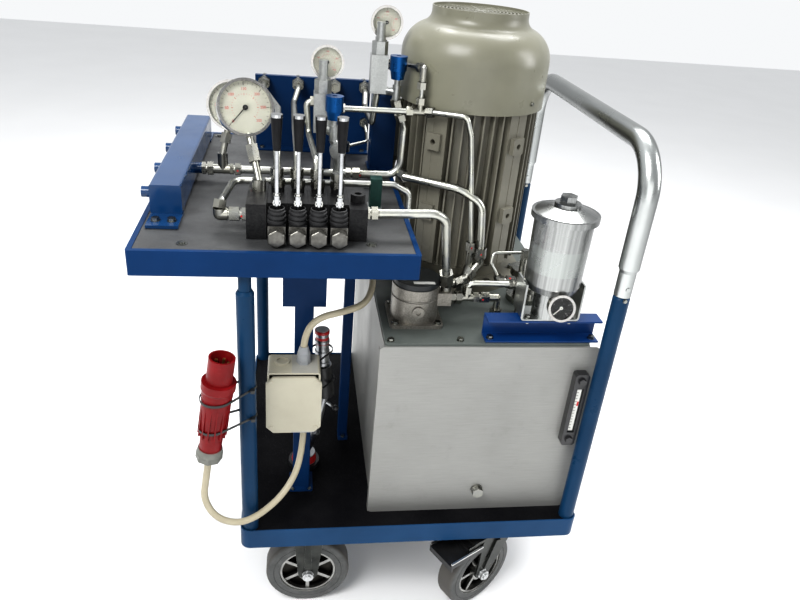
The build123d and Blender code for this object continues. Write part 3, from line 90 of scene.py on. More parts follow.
class Nodes:
    """A material under construction: its tree, its shader and its coordinates."""

    def __init__(self, name):
        self.material = bpy.data.materials.new(name)
        self.material.use_nodes = True
        self.tree = self.material.node_tree
        self.shader = self.tree.nodes["Principled BSDF"]
        self.coords = self.tree.nodes.new("ShaderNodeTexCoord").outputs["Object"]

    def node(self, kind, **settings):
        made = self.tree.nodes.new("ShaderNode" + kind)
        for key, value in settings.items():
            setattr(made, key, value)
        return made

    def link(self, source, target):
        self.tree.links.new(source, target)

    def put(self, target, value):
        """Link a socket, or set a constant."""
        if isinstance(value, bpy.types.NodeSocket):
            self.link(value, target)
        else:
            target.default_value = value

    def scaled(self, scale):
        """The coordinates stretched by a factor along each axis."""
        mapping = self.node("Mapping")
        mapping.inputs["Scale"].default_value = scale
        self.link(self.coords, mapping.inputs["Vector"])
        return mapping.outputs["Vector"]

    def noise(self, scale, detail=3.0, rough=0.55, coords=None):
        made = self.node("TexNoise")
        made.inputs["Scale"].default_value = scale
        made.inputs["Detail"].default_value = detail
        made.inputs["Roughness"].default_value = rough
        self.link(coords or self.coords, made.inputs["Vector"])
        return made.outputs["Fac"]

    def voronoi(self, scale):
        made = self.node("TexVoronoi")
        made.inputs["Scale"].default_value = scale
        self.link(self.coords, made.inputs["Vector"])
        return made.outputs["Distance"]

    def ramp(self, value, low, high, out_low=0.0, out_high=1.0):
        """Straight from out_low at low to out_high at high, clamped outside."""
        made = self.node("MapRange")
        made.inputs["From Min"].default_value = low
        made.inputs["From Max"].default_value = high
        made.inputs["To Min"].default_value = out_low
        made.inputs["To Max"].default_value = out_high
        self.link(value, made.inputs["Value"])
        return made.outputs["Result"]

    def math(self, operation, first, second=0.0):
        made = self.node("Math", operation=operation)
        self.put(made.inputs[0], first)
        self.put(made.inputs[1], second)
        return made.outputs[0]

    def mix(self, factor, first, second):
        """The first colour at factor 0, the second at 1."""
        made = self.node("Mix", data_type="RGBA")
        self.put(made.inputs[0], factor)
        for socket, value in ((made.inputs[6], first), (made.inputs[7], second)):
            if isinstance(value, bpy.types.NodeSocket):
                self.link(value, socket)
            else:
                socket.default_value = (*value, 1.0)
        return made.outputs[2]

    def axis(self, name):
        """One coordinate, in metres: "X", "Y" or "Z"."""
        made = self.node("SeparateXYZ")
        self.link(self.coords, made.inputs[0])
        return made.outputs[name]

    def offset(self, point):
        """The vector from a fixed point."""
        made = self.node("VectorMath", operation="SUBTRACT")
        self.link(self.coords, made.inputs[0])
        made.inputs[1].default_value = point
        return made.outputs[0]

    def along(self, point, axis):
        """How far along an axis, counted from a fixed point."""
        made = self.node("VectorMath", operation="DOT_PRODUCT")
        self.link(self.offset(point), made.inputs[0])
        made.inputs[1].default_value = Vector(axis).normalized()
        return made.outputs["Value"]

    def bump(self, *layers):
        """Bump from (height, strength, distance) layers, one on top of the other."""
        last = None
        for height, strength, distance in layers:
            made = self.node("Bump")
            made.inputs["Strength"].default_value = strength
            made.inputs["Distance"].default_value = distance
            self.link(height, made.inputs["Height"])
            if last is not None:
                self.link(last, made.inputs["Normal"])
            last = made.outputs["Normal"]
        self.link(last, self.shader.inputs["Normal"])

    def wear(self, amount):
        """Where the surface turns sharply, at its edges."""
        rounded = self.node("Bevel", samples=4)
        rounded.inputs["Radius"].default_value = EDGE_WIDTH
        geometry = self.node("NewGeometry")
        turned = self.node("VectorMath", operation="DOT_PRODUCT")
        self.link(rounded.outputs["Normal"], turned.inputs[0])
        self.link(geometry.outputs["Normal"], turned.inputs[1])
        edge = self.ramp(turned.outputs["Value"], 0.985, 0.88)
        return self.math("MULTIPLY", edge, self.ramp(self.noise(90), 0.46, 0.62, 0.0, amount))

    def rounded(self, tone, amount=0.7):
        """Painted shade: the tone mixed towards near-black where the surface turns away from the
        view, so round metal reads dark at its rim.
        """
        weight = self.node("LayerWeight")
        weight.inputs["Blend"].default_value = 0.5
        # painted shade: the near-black colour grows as the surface faces away from the view
        return self.mix(self.ramp(weight.outputs["Facing"], 0.12, 0.62, 0.0, amount), tone,
                        (0.035, 0.037, 0.037))

    def finish(self, colour, rough, metallic=None, **constants):
        """Set the shader's inputs; a further input's name has _ for each space."""
        self.put(self.shader.inputs["Base Color"],
                 colour if isinstance(colour, bpy.types.NodeSocket) else (*colour, 1.0))
        self.put(self.shader.inputs["Roughness"], rough)
        if metallic is not None:
            self.put(self.shader.inputs["Metallic"], metallic)
        for key, value in constants.items():
            self.shader.inputs[key.replace("_", " ")].default_value = value
        return self.material


def shade(colour, factor):
    """The colour made darker or lighter."""
    return tuple(min(1.0, channel * factor) for channel in colour)


def painted(name, colour, rough=0.36, wear=0.35, gloss=0.10, coat=0.0):
    """Sprayed paint: cloudy, lightly scuffed, with its edges rubbed paler."""
    m = Nodes(name)
    broad = m.mix(m.ramp(m.noise(7, 4), 0.3, 0.7), shade(colour, 0.86), shade(colour, 1.12))
    scuffed = m.mix(m.ramp(m.noise(60, 6, 0.7, m.scaled((1, 1, 3))), 0.62, 0.78, 0.0, 0.10),
                    broad, shade(colour, 1.9))
    worn = m.mix(m.wear(wear), scuffed, shade(colour, 3.0))
    m.bump((m.noise(420, 2), 0.12, 0.0004))
    return m.finish(worn, m.ramp(m.noise(24, 5), 0.3, 0.7, rough - 0.06, rough + 0.10),
                    Specular_IOR_Level=gloss, Coat_Weight=coat, Coat_Roughness=0.2)


def metal(name, colour, rough, grain=(1, 1, 1), stain=0.25, metallic=1.0):
    """Bare machined metal with fine grain and darker stains."""
    m = Nodes(name)
    lines = m.noise(300, 3, 0.6, m.scaled(grain))
    base = m.mix(m.ramp(lines, 0.3, 0.7), shade(colour, 0.82), shade(colour, 1.1))
    blotch = m.ramp(m.noise(22, 6, 0.65), 0.45, 0.75, 0.0, stain)
    tone = m.mix(blotch, base, shade(colour, 0.45))
    m.bump((lines, 0.05, 0.0002), (m.noise(40, 3), 0.03, 0.0003))
    return m.finish(tone, m.ramp(m.noise(45, 5), 0.3, 0.7, rough - 0.05, rough + 0.10), metallic)


def zinc(name, colour, rough):
    """Zinc plated steel with its faint yellow and blue bloom, and painted shade where it turns away
    from the view.
    """
    m = Nodes(name)
    bloom = m.mix(m.ramp(m.noise(35, 3), 0.35, 0.65), shade(colour, 0.90),
                  (colour[0] * 1.04, colour[1] * 1.02, colour[2] * 0.94))
    tone = m.mix(m.ramp(m.noise(120, 5, 0.7), 0.58, 0.8, 0.0, 0.35), bloom, shade(colour, 0.4))
    m.bump((m.noise(500, 3), 0.03, 0.0001))
    # painted shade: the tone darkens where the surface turns away from the view
    return m.finish(m.rounded(tone), m.ramp(m.noise(60, 4), 0.3, 0.7, rough - 0.04, rough + 0.06),
                    1.0)


def plastic(name, colour, rough, bump_scale=600.0, dust=0.12, coat=0.0):
    """Moulded plastic or rubber with a trace of dust."""
    m = Nodes(name)
    base = m.mix(m.ramp(m.noise(12, 4), 0.3, 0.7), shade(colour, 0.88), shade(colour, 1.1))
    dusty = m.mix(m.ramp(m.noise(70, 6, 0.7), 0.55, 0.8, 0.0, dust), base,
                  tuple(0.6 * channel + 0.16 for channel in colour))
    m.bump((m.noise(bump_scale, 2), 0.08, 0.0003))
    return m.finish(dusty, m.ramp(m.noise(30, 4), 0.3, 0.7, rough - 0.06, rough + 0.1),
                    Coat_Weight=coat, Coat_Roughness=0.2)


def cast(name, colour):
    """Sand-cast iron, oily in places, rubbed bright at its edges."""
    m = Nodes(name)
    grains = m.noise(260, 5, 0.65)
    base = m.mix(m.ramp(grains, 0.35, 0.65), shade(colour, 0.72), shade(colour, 1.25))
    oil = m.mix(m.ramp(m.noise(18, 5), 0.42, 0.68, 0.0, 0.6), base, shade(colour, 0.5))
    worn = m.mix(m.wear(0.7), oil, shade(colour, 3.2))
    m.bump((grains, 0.35, 0.0007), (m.noise(60, 3), 0.2, 0.001))
    return m.finish(worn, m.ramp(m.noise(15, 4), 0.3, 0.7, 0.31, 0.55), 0.6)


def give(name, material):
    """Make this the only material of a CAD node."""
    mesh = nodes[name].data
    mesh.materials.clear()
    mesh.materials.append(material)


# ------------------------------------------------------------------ materials of the CAD nodes
give("platform_frame", painted("rim_paint", (0.012, 0.048, 0.115)))
give("uprights", painted("upright_paint", (0.006, 0.033, 0.078), rough=0.32, gloss=0.12))
give("tray_frame", painted("tray_paint", (0.002, 0.026, 0.090), rough=0.34))
give("tray_legs", painted("leg_paint", (0.004, 0.026, 0.085)))
give("collector_header", painted("header_paint", (0.004, 0.034, 0.105), rough=0.18, gloss=0.45))
give("valve_supports", painted("support_paint", (0.004, 0.022, 0.070), rough=0.33))
give("tank_lid", painted("lid_paint", (0.085, 0.097, 0.090), rough=0.45, wear=0.4, gloss=0.4))
give("motor_housing", painted("motor_paint", (0.140, 0.134, 0.106), rough=0.42, gloss=0.4))
give("motor_fan_cowl", painted("cowl_paint", (0.160, 0.157, 0.118), rough=0.32, wear=0.2,
                               gloss=0.4, coat=0.05))
give("motor_terminal_box", painted("terminal_paint", (0.120, 0.120, 0.105), rough=0.4))


def mount_material():
    """Dark blue channel on the lid under a zinc plated bracket."""
    m = Nodes("mount_finish")
    bracket = m.ramp(m.axis("Z"), 0.8004, 0.8006)
    paint = m.mix(m.ramp(m.noise(7, 4), 0.3, 0.7), (0.003, 0.030, 0.120), (0.004, 0.038, 0.150))
    steel = m.mix(m.ramp(m.noise(30, 5), 0.3, 0.7), (0.30, 0.31, 0.30), (0.46, 0.47, 0.46))
    m.bump((m.noise(420, 2), 0.08, 0.0003))
    return m.finish(m.mix(bracket, paint, steel), m.ramp(m.noise(24, 5), 0.3, 0.7, 0.28, 0.42),
                    bracket, Specular_IOR_Level=0.3)


give("filter_mount", mount_material())


def deck_material():
    """Black anti-slip board; the pale on its grain tips is painted reflection, strongest towards
    the rear.
    """
    m = Nodes("deck_antislip")
    grain = m.voronoi(330)
    fine = m.noise(700, 4, 0.7)
    tips = m.ramp(m.math("MULTIPLY", m.ramp(grain, 0.0, 0.45, 1.0, 0.0), fine), 0.30, 0.62)
    # painted reflection: the pale grain tips grow stronger towards the rear of the deck
    reflection_toward_back = m.ramp(m.axis("Y"), -0.33, 0.15, 0.10, 0.85)
    painted_reflection_speckle = m.math("MULTIPLY", tips, reflection_toward_back)
    base = m.mix(m.ramp(m.noise(9, 5), 0.35, 0.7), (0.002, 0.002, 0.003), (0.007, 0.007, 0.008))
    # the pale grey mixed in here is painted reflection
    tone = m.mix(painted_reflection_speckle, base, (0.26, 0.26, 0.28))
    m.bump((m.ramp(grain, 0.0, 0.5, 1.0, 0.0), 0.5, 0.0009))
    return m.finish(tone, m.ramp(fine, 0.3, 0.7, 0.55, 0.8), Specular_IOR_Level=0.08)


def mat_material():
    """Charcoal ribbed rubber with wiped, paler patches."""
    m = Nodes("tray_rubber")
    fine = m.noise(900, 5, 0.75)
    base = m.mix(m.ramp(m.noise(14, 5), 0.3, 0.7), (0.008, 0.008, 0.009), (0.030, 0.031, 0.032))
    tone = m.mix(m.ramp(fine, 0.48, 0.70, 0.0, 0.6), base, (0.125, 0.130, 0.130))
    wiped = m.mix(m.ramp(m.noise(5, 6, 0.6, m.scaled((1, 2.5, 1))), 0.45, 0.72, 0.0, 0.45), tone,
                  (0.075, 0.078, 0.079))
    m.bump((fine, 0.3, 0.0005), (m.noise(180, 3), 0.2, 0.0006))
    return m.finish(wiped, m.ramp(m.noise(20, 5), 0.3, 0.7, 0.42, 0.68))


give("deck_board", deck_material())
give("tray_mat", mat_material())


def tank_material():
    """Sheet steel brushed along X with faint grey staining."""
    m = Nodes("tank_sheet")
    lines = m.noise(900, 4, 0.7, m.scaled((0.02, 1, 1)))
    mist = m.noise(3.0, 6, 0.6)
    base = m.mix(m.ramp(lines, 0.3, 0.7), (0.240, 0.240, 0.228), (0.292, 0.292, 0.278))
    tone = m.mix(m.ramp(mist, 0.35, 0.7, 0.0, 0.4), base, (0.348, 0.348, 0.334))
    smudge = m.mix(m.ramp(m.noise(16, 7, 0.72), 0.58, 0.8, 0.0, 0.35), tone, (0.172, 0.172, 0.164))
    m.bump((lines, 0.05, 0.0003), (m.noise(5, 2), 0.12, 0.004))
    return m.finish(smudge, m.ramp(m.noise(8, 6), 0.3, 0.7, 0.42, 0.58), 0.55)


give("tank_body", tank_material())


def bow_material():
    """Bright drawn steel tube with soft cloudy zinc, a few dull scuffs and painted shade where it
    turns away from the view.
    """
    m = Nodes("bow_steel")
    cloud = m.mix(m.ramp(m.noise(9, 3), 0.3, 0.7), (0.50, 0.52, 0.51), (0.58, 0.60, 0.59))
    scuff = m.ramp(m.noise(18, 5, 0.6, m.scaled((1, 0.3, 1))), 0.60, 0.80, 0.0, 0.25)
    tone = m.mix(scuff, cloud, (0.36, 0.38, 0.37))
    m.bump((m.noise(240, 3), 0.02, 0.0001))
    # painted shade: the tube darkens towards its rim as seen
    return m.finish(m.rounded(tone), m.ramp(m.noise(10, 3), 0.3, 0.7, 0.25, 0.31), 1.0)


give("push_handle", bow_material())


def beyond(m, centre, axis, radius):
    """1 where a point is farther from the line than radius, and its distance."""
    soft = 0.0004
    cross = m.node("VectorMath", operation="CROSS_PRODUCT")
    m.link(m.offset(centre), cross.inputs[0])
    cross.inputs[1].default_value = Vector(axis).normalized()
    length = m.node("VectorMath", operation="LENGTH")
    m.link(cross.outputs[0], length.inputs[0])
    distance = length.outputs["Value"]
    return m.ramp(distance, radius - soft, radius + soft), distance


def fork_material(name, joint):
    """Dark plated steel plates held by a bright axle nut."""
    m = Nodes(name)
    plate, _ = beyond(m, joint["pos_m"], joint["axis"], 0.0134)
    dark = m.mix(m.ramp(m.noise(30, 5), 0.3, 0.7), (0.030, 0.032, 0.030), (0.070, 0.073, 0.068))
    worn = m.mix(m.wear(0.8), dark, (0.42, 0.43, 0.42))
    bright = m.mix(m.ramp(m.noise(60, 4), 0.3, 0.7), (0.50, 0.51, 0.51), (0.66, 0.67, 0.67))
    m.bump((m.noise(260, 3), 0.08, 0.0003))
    return m.finish(m.mix(plate, bright, worn), m.ramp(m.noise(30, 4), 0.3, 0.7, 0.26, 0.42),
                    0.9)


def pedal_material(name):
    """Black pedal with a bare pressed edge along its sides."""
    m = Nodes(name)
    edge = m.ramp(m.axis("Z"), 0.2072, 0.2078)
    black = m.mix(m.ramp(m.noise(40, 4), 0.3, 0.7), (0.006, 0.006, 0.006), (0.014, 0.014, 0.015))
    steel = m.mix(m.ramp(m.noise(60, 4), 0.3, 0.7), (0.55, 0.55, 0.53), (0.72, 0.72, 0.70))
    m.bump((m.noise(400, 2), 0.08, 0.0003))
    return m.finish(m.mix(edge, black, steel), m.ramp(m.noise(30, 4), 0.3, 0.7, 0.28, 0.42), edge)


def wheel_material(name, joint):
    """An aluminium centre with painted shade in the recesses between bright ribs, inside a grey
    elastic tyre.
    """
    m = Nodes(name)
    tyre, distance = beyond(m, joint["pos_m"], joint["axis"], 0.0680)
    depth = m.math("ABSOLUTE", m.along(joint["pos_m"], joint["axis"]))
    # painted shade: the recesses between the ribs, near the wheel's mid-plane, turn near-black
    pocket_shade = m.ramp(depth, 0.0165, 0.0085)
    hub = m.mix(m.ramp(m.noise(60, 5), 0.35, 0.7), (0.44, 0.44, 0.42), (0.28, 0.28, 0.27))
    shaded = m.mix(pocket_shade, hub, (0.025, 0.023, 0.020))
    rubber = m.mix(m.ramp(m.noise(45, 6, 0.7), 0.35, 0.7), (0.052, 0.054, 0.053),
                   (0.090, 0.092, 0.090))
    tread = m.mix(m.ramp(distance, 0.094, 0.099), rubber, (0.060, 0.056, 0.050))
    m.bump((m.noise(500, 3), 0.06, 0.0003), (m.noise(90, 4), 0.10, 0.0005))
    return m.finish(m.mix(tyre, shaded, tread), m.ramp(tyre, 0, 1, 0.30, 0.60),
                    m.math("SUBTRACT", 1.0, tyre))


give("caster_mounts", fork_material("fixed_fork_steel", joint_of("front_fixed_wheel_spin")))
for side in ("front", "rear"):
    give(side + "_fixed_wheel",
         wheel_material(side + "_fixed", joint_of(side + "_fixed_wheel_spin")))
    give(side + "_swivel_wheel",
         wheel_material(side + "_swivel", joint_of(side + "_swivel_wheel_spin")))
    give(side + "_swivel_fork",
         fork_material(side + "_fork_steel", joint_of(side + "_swivel_wheel_spin")))
    give(side + "_brake_pedal", pedal_material(side + "_pedal_finish"))


def valve_material():
    """Dark oiled castings with steel caps along the front."""
    m = Nodes("valve_castings")
    caps = m.ramp(m.axis("Y"), at(0, 38.3, 0).y, at(0, 38.0, 0).y)
    grains = m.noise(260, 5, 0.65)
    iron = m.mix(m.ramp(grains, 0.35, 0.65), (0.006, 0.006, 0.007), (0.020, 0.020, 0.020))
    worn = m.mix(m.wear(0.4), iron, (0.11, 0.11, 0.11))
    steel = m.mix(m.ramp(m.noise(110, 4), 0.3, 0.7), (0.105, 0.102, 0.092), (0.190, 0.185, 0.170))
    m.bump((grains, 0.22, 0.0006))
    return m.finish(m.mix(caps, worn, steel), m.ramp(m.noise(30, 4), 0.3, 0.7, 0.28, 0.44),
                    m.ramp(caps, 0, 1, 0.30, 0.95), Specular_IOR_Level=0.25)


give("valve_block", valve_material())


def lever_material(name):
    """Chromed rod under a black moulded grip with a bright cap; the chrome carries painted shade
    where it turns away from the view.
    """
    m = Nodes(name)
    z = m.axis("Z")
    grip = m.math("MULTIPLY", m.ramp(z, 1.1428, 1.1432), m.ramp(z, 1.2012, 1.2008))
    chrome = m.mix(m.ramp(m.noise(80, 4), 0.4, 0.7), (0.70, 0.71, 0.72), (0.50, 0.51, 0.52))
    black = m.mix(m.ramp(m.noise(60, 4), 0.3, 0.7), (0.004, 0.004, 0.005), (0.009, 0.009, 0.010))
    m.bump((m.noise(400, 2), 0.05, 0.0003))
    # painted shade on the chrome where the rod turns away from the view
    return m.finish(m.mix(grip, m.rounded(chrome), black), m.ramp(grip, 0, 1, 0.16, 0.42),
                    m.math("SUBTRACT", 1.0, grip), Specular_IOR_Level=0.2)


for number in range(1, 5):
    give(f"valve_lever_{number}", lever_material(f"lever_{number}_finish"))
    give(f"valve_spool_{number}", metal(f"spool_{number}_steel", (0.55, 0.55, 0.56), rough=0.2))

give("motor_rotor", metal("rotor_steel", (0.20, 0.20, 0.21), rough=0.45, metallic=0.6))
give("pump_housing", cast("pump_iron", (0.10, 0.10, 0.10)))
give("pump_driven_gear", metal("gear_steel", (0.50, 0.50, 0.51), rough=0.25))


def return_filter_material():
    """A bare casting under a black lid."""
    m = Nodes("filter_casting")
    lid = m.ramp(m.axis("Z"), 0.8338, 0.8342)
    grains = m.noise(300, 4, 0.6)
    body = m.mix(m.ramp(grains, 0.35, 0.65), (0.215, 0.203, 0.178), (0.32, 0.305, 0.275))
    oily = m.mix(m.ramp(m.noise(20, 5), 0.5, 0.75, 0.0, 0.5), body, (0.13, 0.12, 0.105))
    black = m.mix(m.ramp(m.noise(40, 4), 0.3, 0.7), (0.007, 0.009, 0.010), (0.015, 0.019, 0.021))
    m.bump((grains, 0.18, 0.0006))
    return m.finish(m.mix(lid, oily, black), m.ramp(m.noise(25, 4), 0.3, 0.7, 0.32, 0.46),
                    m.ramp(lid, 0, 1, 0.75, 0.0))


give("return_filter", return_filter_material())


def can_material():
    """Turned aluminium: fine rings round the can's axis, a plain pale band, and painted shade on
    its flanks.
    """
    m = Nodes("can_aluminium")
    z = m.axis("Z")
    spin = m.node("SeparateXYZ")
    m.link(m.offset(at(644, 90, 0)), spin.inputs[0])
    angle = m.math("ARCTAN2", spin.outputs["Y"], spin.outputs["X"])
    streaks = m.node("TexNoise", noise_dimensions="1D")
    streaks.inputs["Scale"].default_value = 7.0
    streaks.inputs["Detail"].default_value = 5.0
    m.link(angle, streaks.inputs["W"])
    rings = m.node("TexNoise", noise_dimensions="1D")
    rings.inputs["Scale"].default_value = 1500.0
    m.link(z, rings.inputs["W"])
    steel = m.mix(m.ramp(streaks.outputs["Fac"], 0.35, 0.65), (0.30, 0.305, 0.30),
                  (0.46, 0.47, 0.46))
    label = m.math("MULTIPLY", m.ramp(z, 0.9136, 0.9140), m.ramp(z, 0.9684, 0.9680))
    tone = m.mix(m.math("MULTIPLY", label, 0.55), steel, (0.42, 0.45, 0.43))
    m.bump((rings.outputs["Fac"], 0.06, 0.0001))
    # painted shade: the can's flanks darken where they turn away from the view
    return m.finish(m.rounded(tone, 0.6), m.ramp(m.noise(12, 3), 0.3, 0.7, 0.24, 0.32),
                    m.ramp(label, 0, 1, 1.0, 0.75), Anisotropic=0.5)


give("offline_filter", can_material())
give("filter_elements", plastic("pleated_paper", (0.60, 0.57, 0.46), rough=0.8))
give("level_gauge", plastic("level_black", (0.012, 0.012, 0.013), rough=0.35, coat=0.3))
give("pressure_blocks", metal("valve_zinc", (0.40, 0.41, 0.40), rough=0.33, stain=0.35))
for side in ("left", "right"):
    give(side + "_adjusting_knob", metal(side + "_anodised", (0.012, 0.085, 0.260), rough=0.30,
                                         stain=0.15, grain=(1, 1, 6)))
give("gauge_cases", metal("gauge_steel", (0.50, 0.49, 0.47), rough=0.20, stain=0.2))


def band(m, value, low, high):
    """1 between two heights, 0 outside them."""
    soft = 0.0003
    return m.math("MULTIPLY", m.ramp(value, low - soft, low + soft),
                  m.ramp(value, high + soft, high - soft))


def box_material():
    """Cream moulded box with grey cable glands."""
    m = Nodes("box_plastic")
    z = m.axis("Z")
    gland = m.math("SUBTRACT", 1.0, band(m, z, 0.524, 0.672))
    ring = m.ramp(m.axis("X"), at(110, 0, 0).x, at(111, 0, 0).x)
    cream = m.mix(m.ramp(m.noise(9, 4), 0.3, 0.7), (0.345, 0.325, 0.255), (0.405, 0.385, 0.305))
    dirty = m.mix(m.ramp(m.noise(45, 6, 0.7), 0.58, 0.8, 0.0, 0.35), cream, (0.28, 0.26, 0.20))
    grey = m.mix(m.ramp(m.noise(30, 4), 0.3, 0.7), (0.20, 0.21, 0.22), (0.30, 0.31, 0.32))
    m.bump((m.noise(520, 2), 0.08, 0.0003))
    return m.finish(m.mix(m.math("MULTIPLY", gland, ring), dirty, grey),
                    m.ramp(m.noise(30, 4), 0.3, 0.7, 0.36, 0.5), Specular_IOR_Level=0.35)


def plug_material():
    """Red moulded plug, grey clamping nut, brass pins."""
    m = Nodes("plug_plastic")
    base, axis = at(-55, -18, 522), (35, 0, 241)
    height = m.along(base, axis)
    outer, _ = beyond(m, base, axis, 0.019)
    red = m.mix(m.ramp(m.noise(25, 4), 0.3, 0.7), (0.120, 0.003, 0.004), (0.190, 0.006, 0.008))
    scuffed = m.mix(m.ramp(m.noise(80, 6, 0.7), 0.6, 0.8, 0.0, 0.3), red, (0.32, 0.06, 0.06))
    nut = m.mix(m.ramp(m.noise(60, 4), 0.3, 0.7), (0.115, 0.117, 0.105), (0.165, 0.168, 0.150))
    shell = m.mix(m.ramp(height, 0.0268, 0.0272), nut, scuffed)
    pin = m.math("MULTIPLY", m.ramp(height, 0.1985, 0.1990), m.math("SUBTRACT", 1.0, outer))
    m.bump((m.noise(420, 2), 0.08, 0.0003))
    return m.finish(m.mix(pin, shell, (0.62, 0.45, 0.18)),
                    m.ramp(m.noise(30, 4), 0.3, 0.7, 0.30, 0.44), pin, Specular_IOR_Level=0.2)


def strap_material():
    """Black straps; the tube clamp is dark green on a bright foot."""
    m = Nodes("strap_plastic")
    z = m.axis("Z")
    clamp = m.ramp(z, 0.80, 0.81)
    foot = m.math("MULTIPLY", clamp, m.ramp(z, 0.9784, 0.9776))
    black = m.mix(m.ramp(m.noise(60, 4), 0.3, 0.7), (0.010, 0.011, 0.011), (0.020, 0.021, 0.021))
    green = m.mix(m.ramp(m.noise(70, 4), 0.3, 0.7), (0.001, 0.022, 0.017), (0.003, 0.038, 0.029))
    m.bump((m.noise(420, 2), 0.08, 0.0003))
    return m.finish(m.mix(foot, m.mix(clamp, black, green), (0.62, 0.63, 0.62)),
                    m.ramp(m.noise(30, 4), 0.3, 0.7, 0.34, 0.5), foot)


def stowed_material():
    """Galvanised barrel with red bands, black grip, red collar over a black foot."""
    m = Nodes("stowed_finish")
    z = m.axis("Z")
    steel = m.mix(m.ramp(m.noise(60, 5), 0.3, 0.7), (0.30, 0.31, 0.32), (0.50, 0.51, 0.52))
    stripe = m.math("GREATER_THAN", m.math("FRACT", m.math("MULTIPLY", z, 62.0)), 0.55)
    top = m.math("MULTIPLY", m.ramp(z, 0.6596, 0.6600), stripe)
    collar = band(m, z, 0.299, 0.318)
    grip = m.math("MAXIMUM", band(m, z, 0.516, 0.601), m.ramp(z, 0.2985, 0.2980))
    black = m.mix(m.ramp(m.noise(60, 4), 0.3, 0.7), (0.010, 0.010, 0.011), (0.022, 0.022, 0.023))
    red = m.mix(m.ramp(m.noise(50, 4), 0.3, 0.7), (0.36, 0.012, 0.012), (0.50, 0.03, 0.03))
    knob = m.ramp(m.axis("X"), at(202, 0, 0).x, at(204, 0, 0).x)
    dark = m.math("MAXIMUM", grip, knob)
    painted_red = m.math("MAXIMUM", top, collar)
    tone = m.mix(painted_red, m.mix(dark, steel, black), red)
    m.bump((m.noise(300, 3), 0.10, 0.0004))
    return m.finish(tone, m.ramp(m.noise(30, 4), 0.3, 0.7, 0.28, 0.42),
                    m.math("SUBTRACT", 1.0, m.math("MAXIMUM", dark, painted_red)))


give("junction_box", box_material())
give("cee_plug", plug_material())
give("straps_and_clamp", strap_material())
give("steel_pipes", zinc("pipe_zinc", (0.60, 0.61, 0.58), rough=0.30))
give("pipe_fittings", zinc("fitting_zinc", (0.42, 0.42, 0.39), rough=0.28))
give("fasteners", zinc("screw_zinc", (0.40, 0.41, 0.39), rough=0.26))
give("stowed_pump", stowed_material())
for name in ("main_pointer", "system_pointer", "left_valve_pointer", "right_valve_pointer"):
    give(name, plastic(name + "_black", (0.006, 0.006, 0.006), rough=0.45))
give("filter_pointer", plastic("filter_pointer_white", (0.75, 0.74, 0.70), rough=0.45))


def lens_material():
    """Thin clear glass."""
    m = Nodes("gauge_glass")
    m.bump((m.noise(40, 2), 0.01, 0.0002))
    return m.finish((0.97, 0.985, 0.98), m.ramp(m.noise(25, 4), 0.3, 0.7, 0.01, 0.05),
                    Transmission_Weight=1.0, IOR=1.12)


give("gauge_lenses", lens_material())


# ------------------------------------------------------------------ mesh helpers
def place(name, mesh, material, body="chassis", smooth=True):
    """Put a mesh into the scene with its material, carried by a body; smooth shaded unless smooth
    is False.
    """
    obj = bpy.data.objects.new(name, mesh)
    bpy.context.scene.collection.objects.link(obj)
    mesh.materials.append(material)
    if smooth:
        mesh.shade_smooth()
        mesh.set_sharp_from_angle(angle=radians(34))
    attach(obj, body)
    return obj


def revolved(name, profile, origin, axis, steps=48):
    """A mesh turned from (radius, height) points about an axis through origin."""
    mesh = bpy.data.meshes.new(name)
    quaternion = Vector((0, 0, 1)).rotation_difference(Vector(axis).normalized())
    made = bmesh.new()
    rings = []
    for radius, height in profile:
        ring = []
        for step in range(steps):
            angle = 2 * pi * step / steps
            spot = Vector((radius * cos(angle), radius * sin(angle), height))
            ring.append(made.verts.new(Vector(origin) + quaternion @ spot))
        rings.append(ring)
    for lower, upper in zip(rings, rings[1:]):
        for step in range(steps):
            after = (step + 1) % steps
            made.faces.new((lower[step], lower[after], upper[after], upper[step]))
    made.faces.new(list(reversed(rings[0])))
    made.faces.new(rings[-1])
    bmesh.ops.recalc_face_normals(made, faces=made.faces[:])
    made.to_mesh(mesh)
    made.free()
    return mesh


def boxes(name, solids):
    """One mesh of bevelled boxes, each (matrix, size)."""
    mesh = bpy.data.meshes.new(name)
    made = bmesh.new()
    for matrix, size in solids:
        cube = bmesh.ops.create_cube(made, size=1.0)
        bmesh.ops.scale(made, vec=size, verts=cube["verts"])
        bmesh.ops.transform(made, matrix=matrix, verts=cube["verts"])
    bmesh.ops.bevel(made, geom=made.edges[:], offset=min(min(size) for _, size in solids) * 0.2,
                    segments=2, affect="EDGES")
    made.to_mesh(mesh)
    made.free()
    return mesh


def basis(normal, x_axis, origin):
    """The frame at origin whose Z is the normal and whose X leans along x_axis."""
    z = Vector(normal).normalized()
    x = (Vector(x_axis) - z * Vector(x_axis).dot(z)).normalized()
    y = z.cross(x)
    return Matrix.Translation(origin) @ Matrix((x, y, z)).transposed().to_4x4()


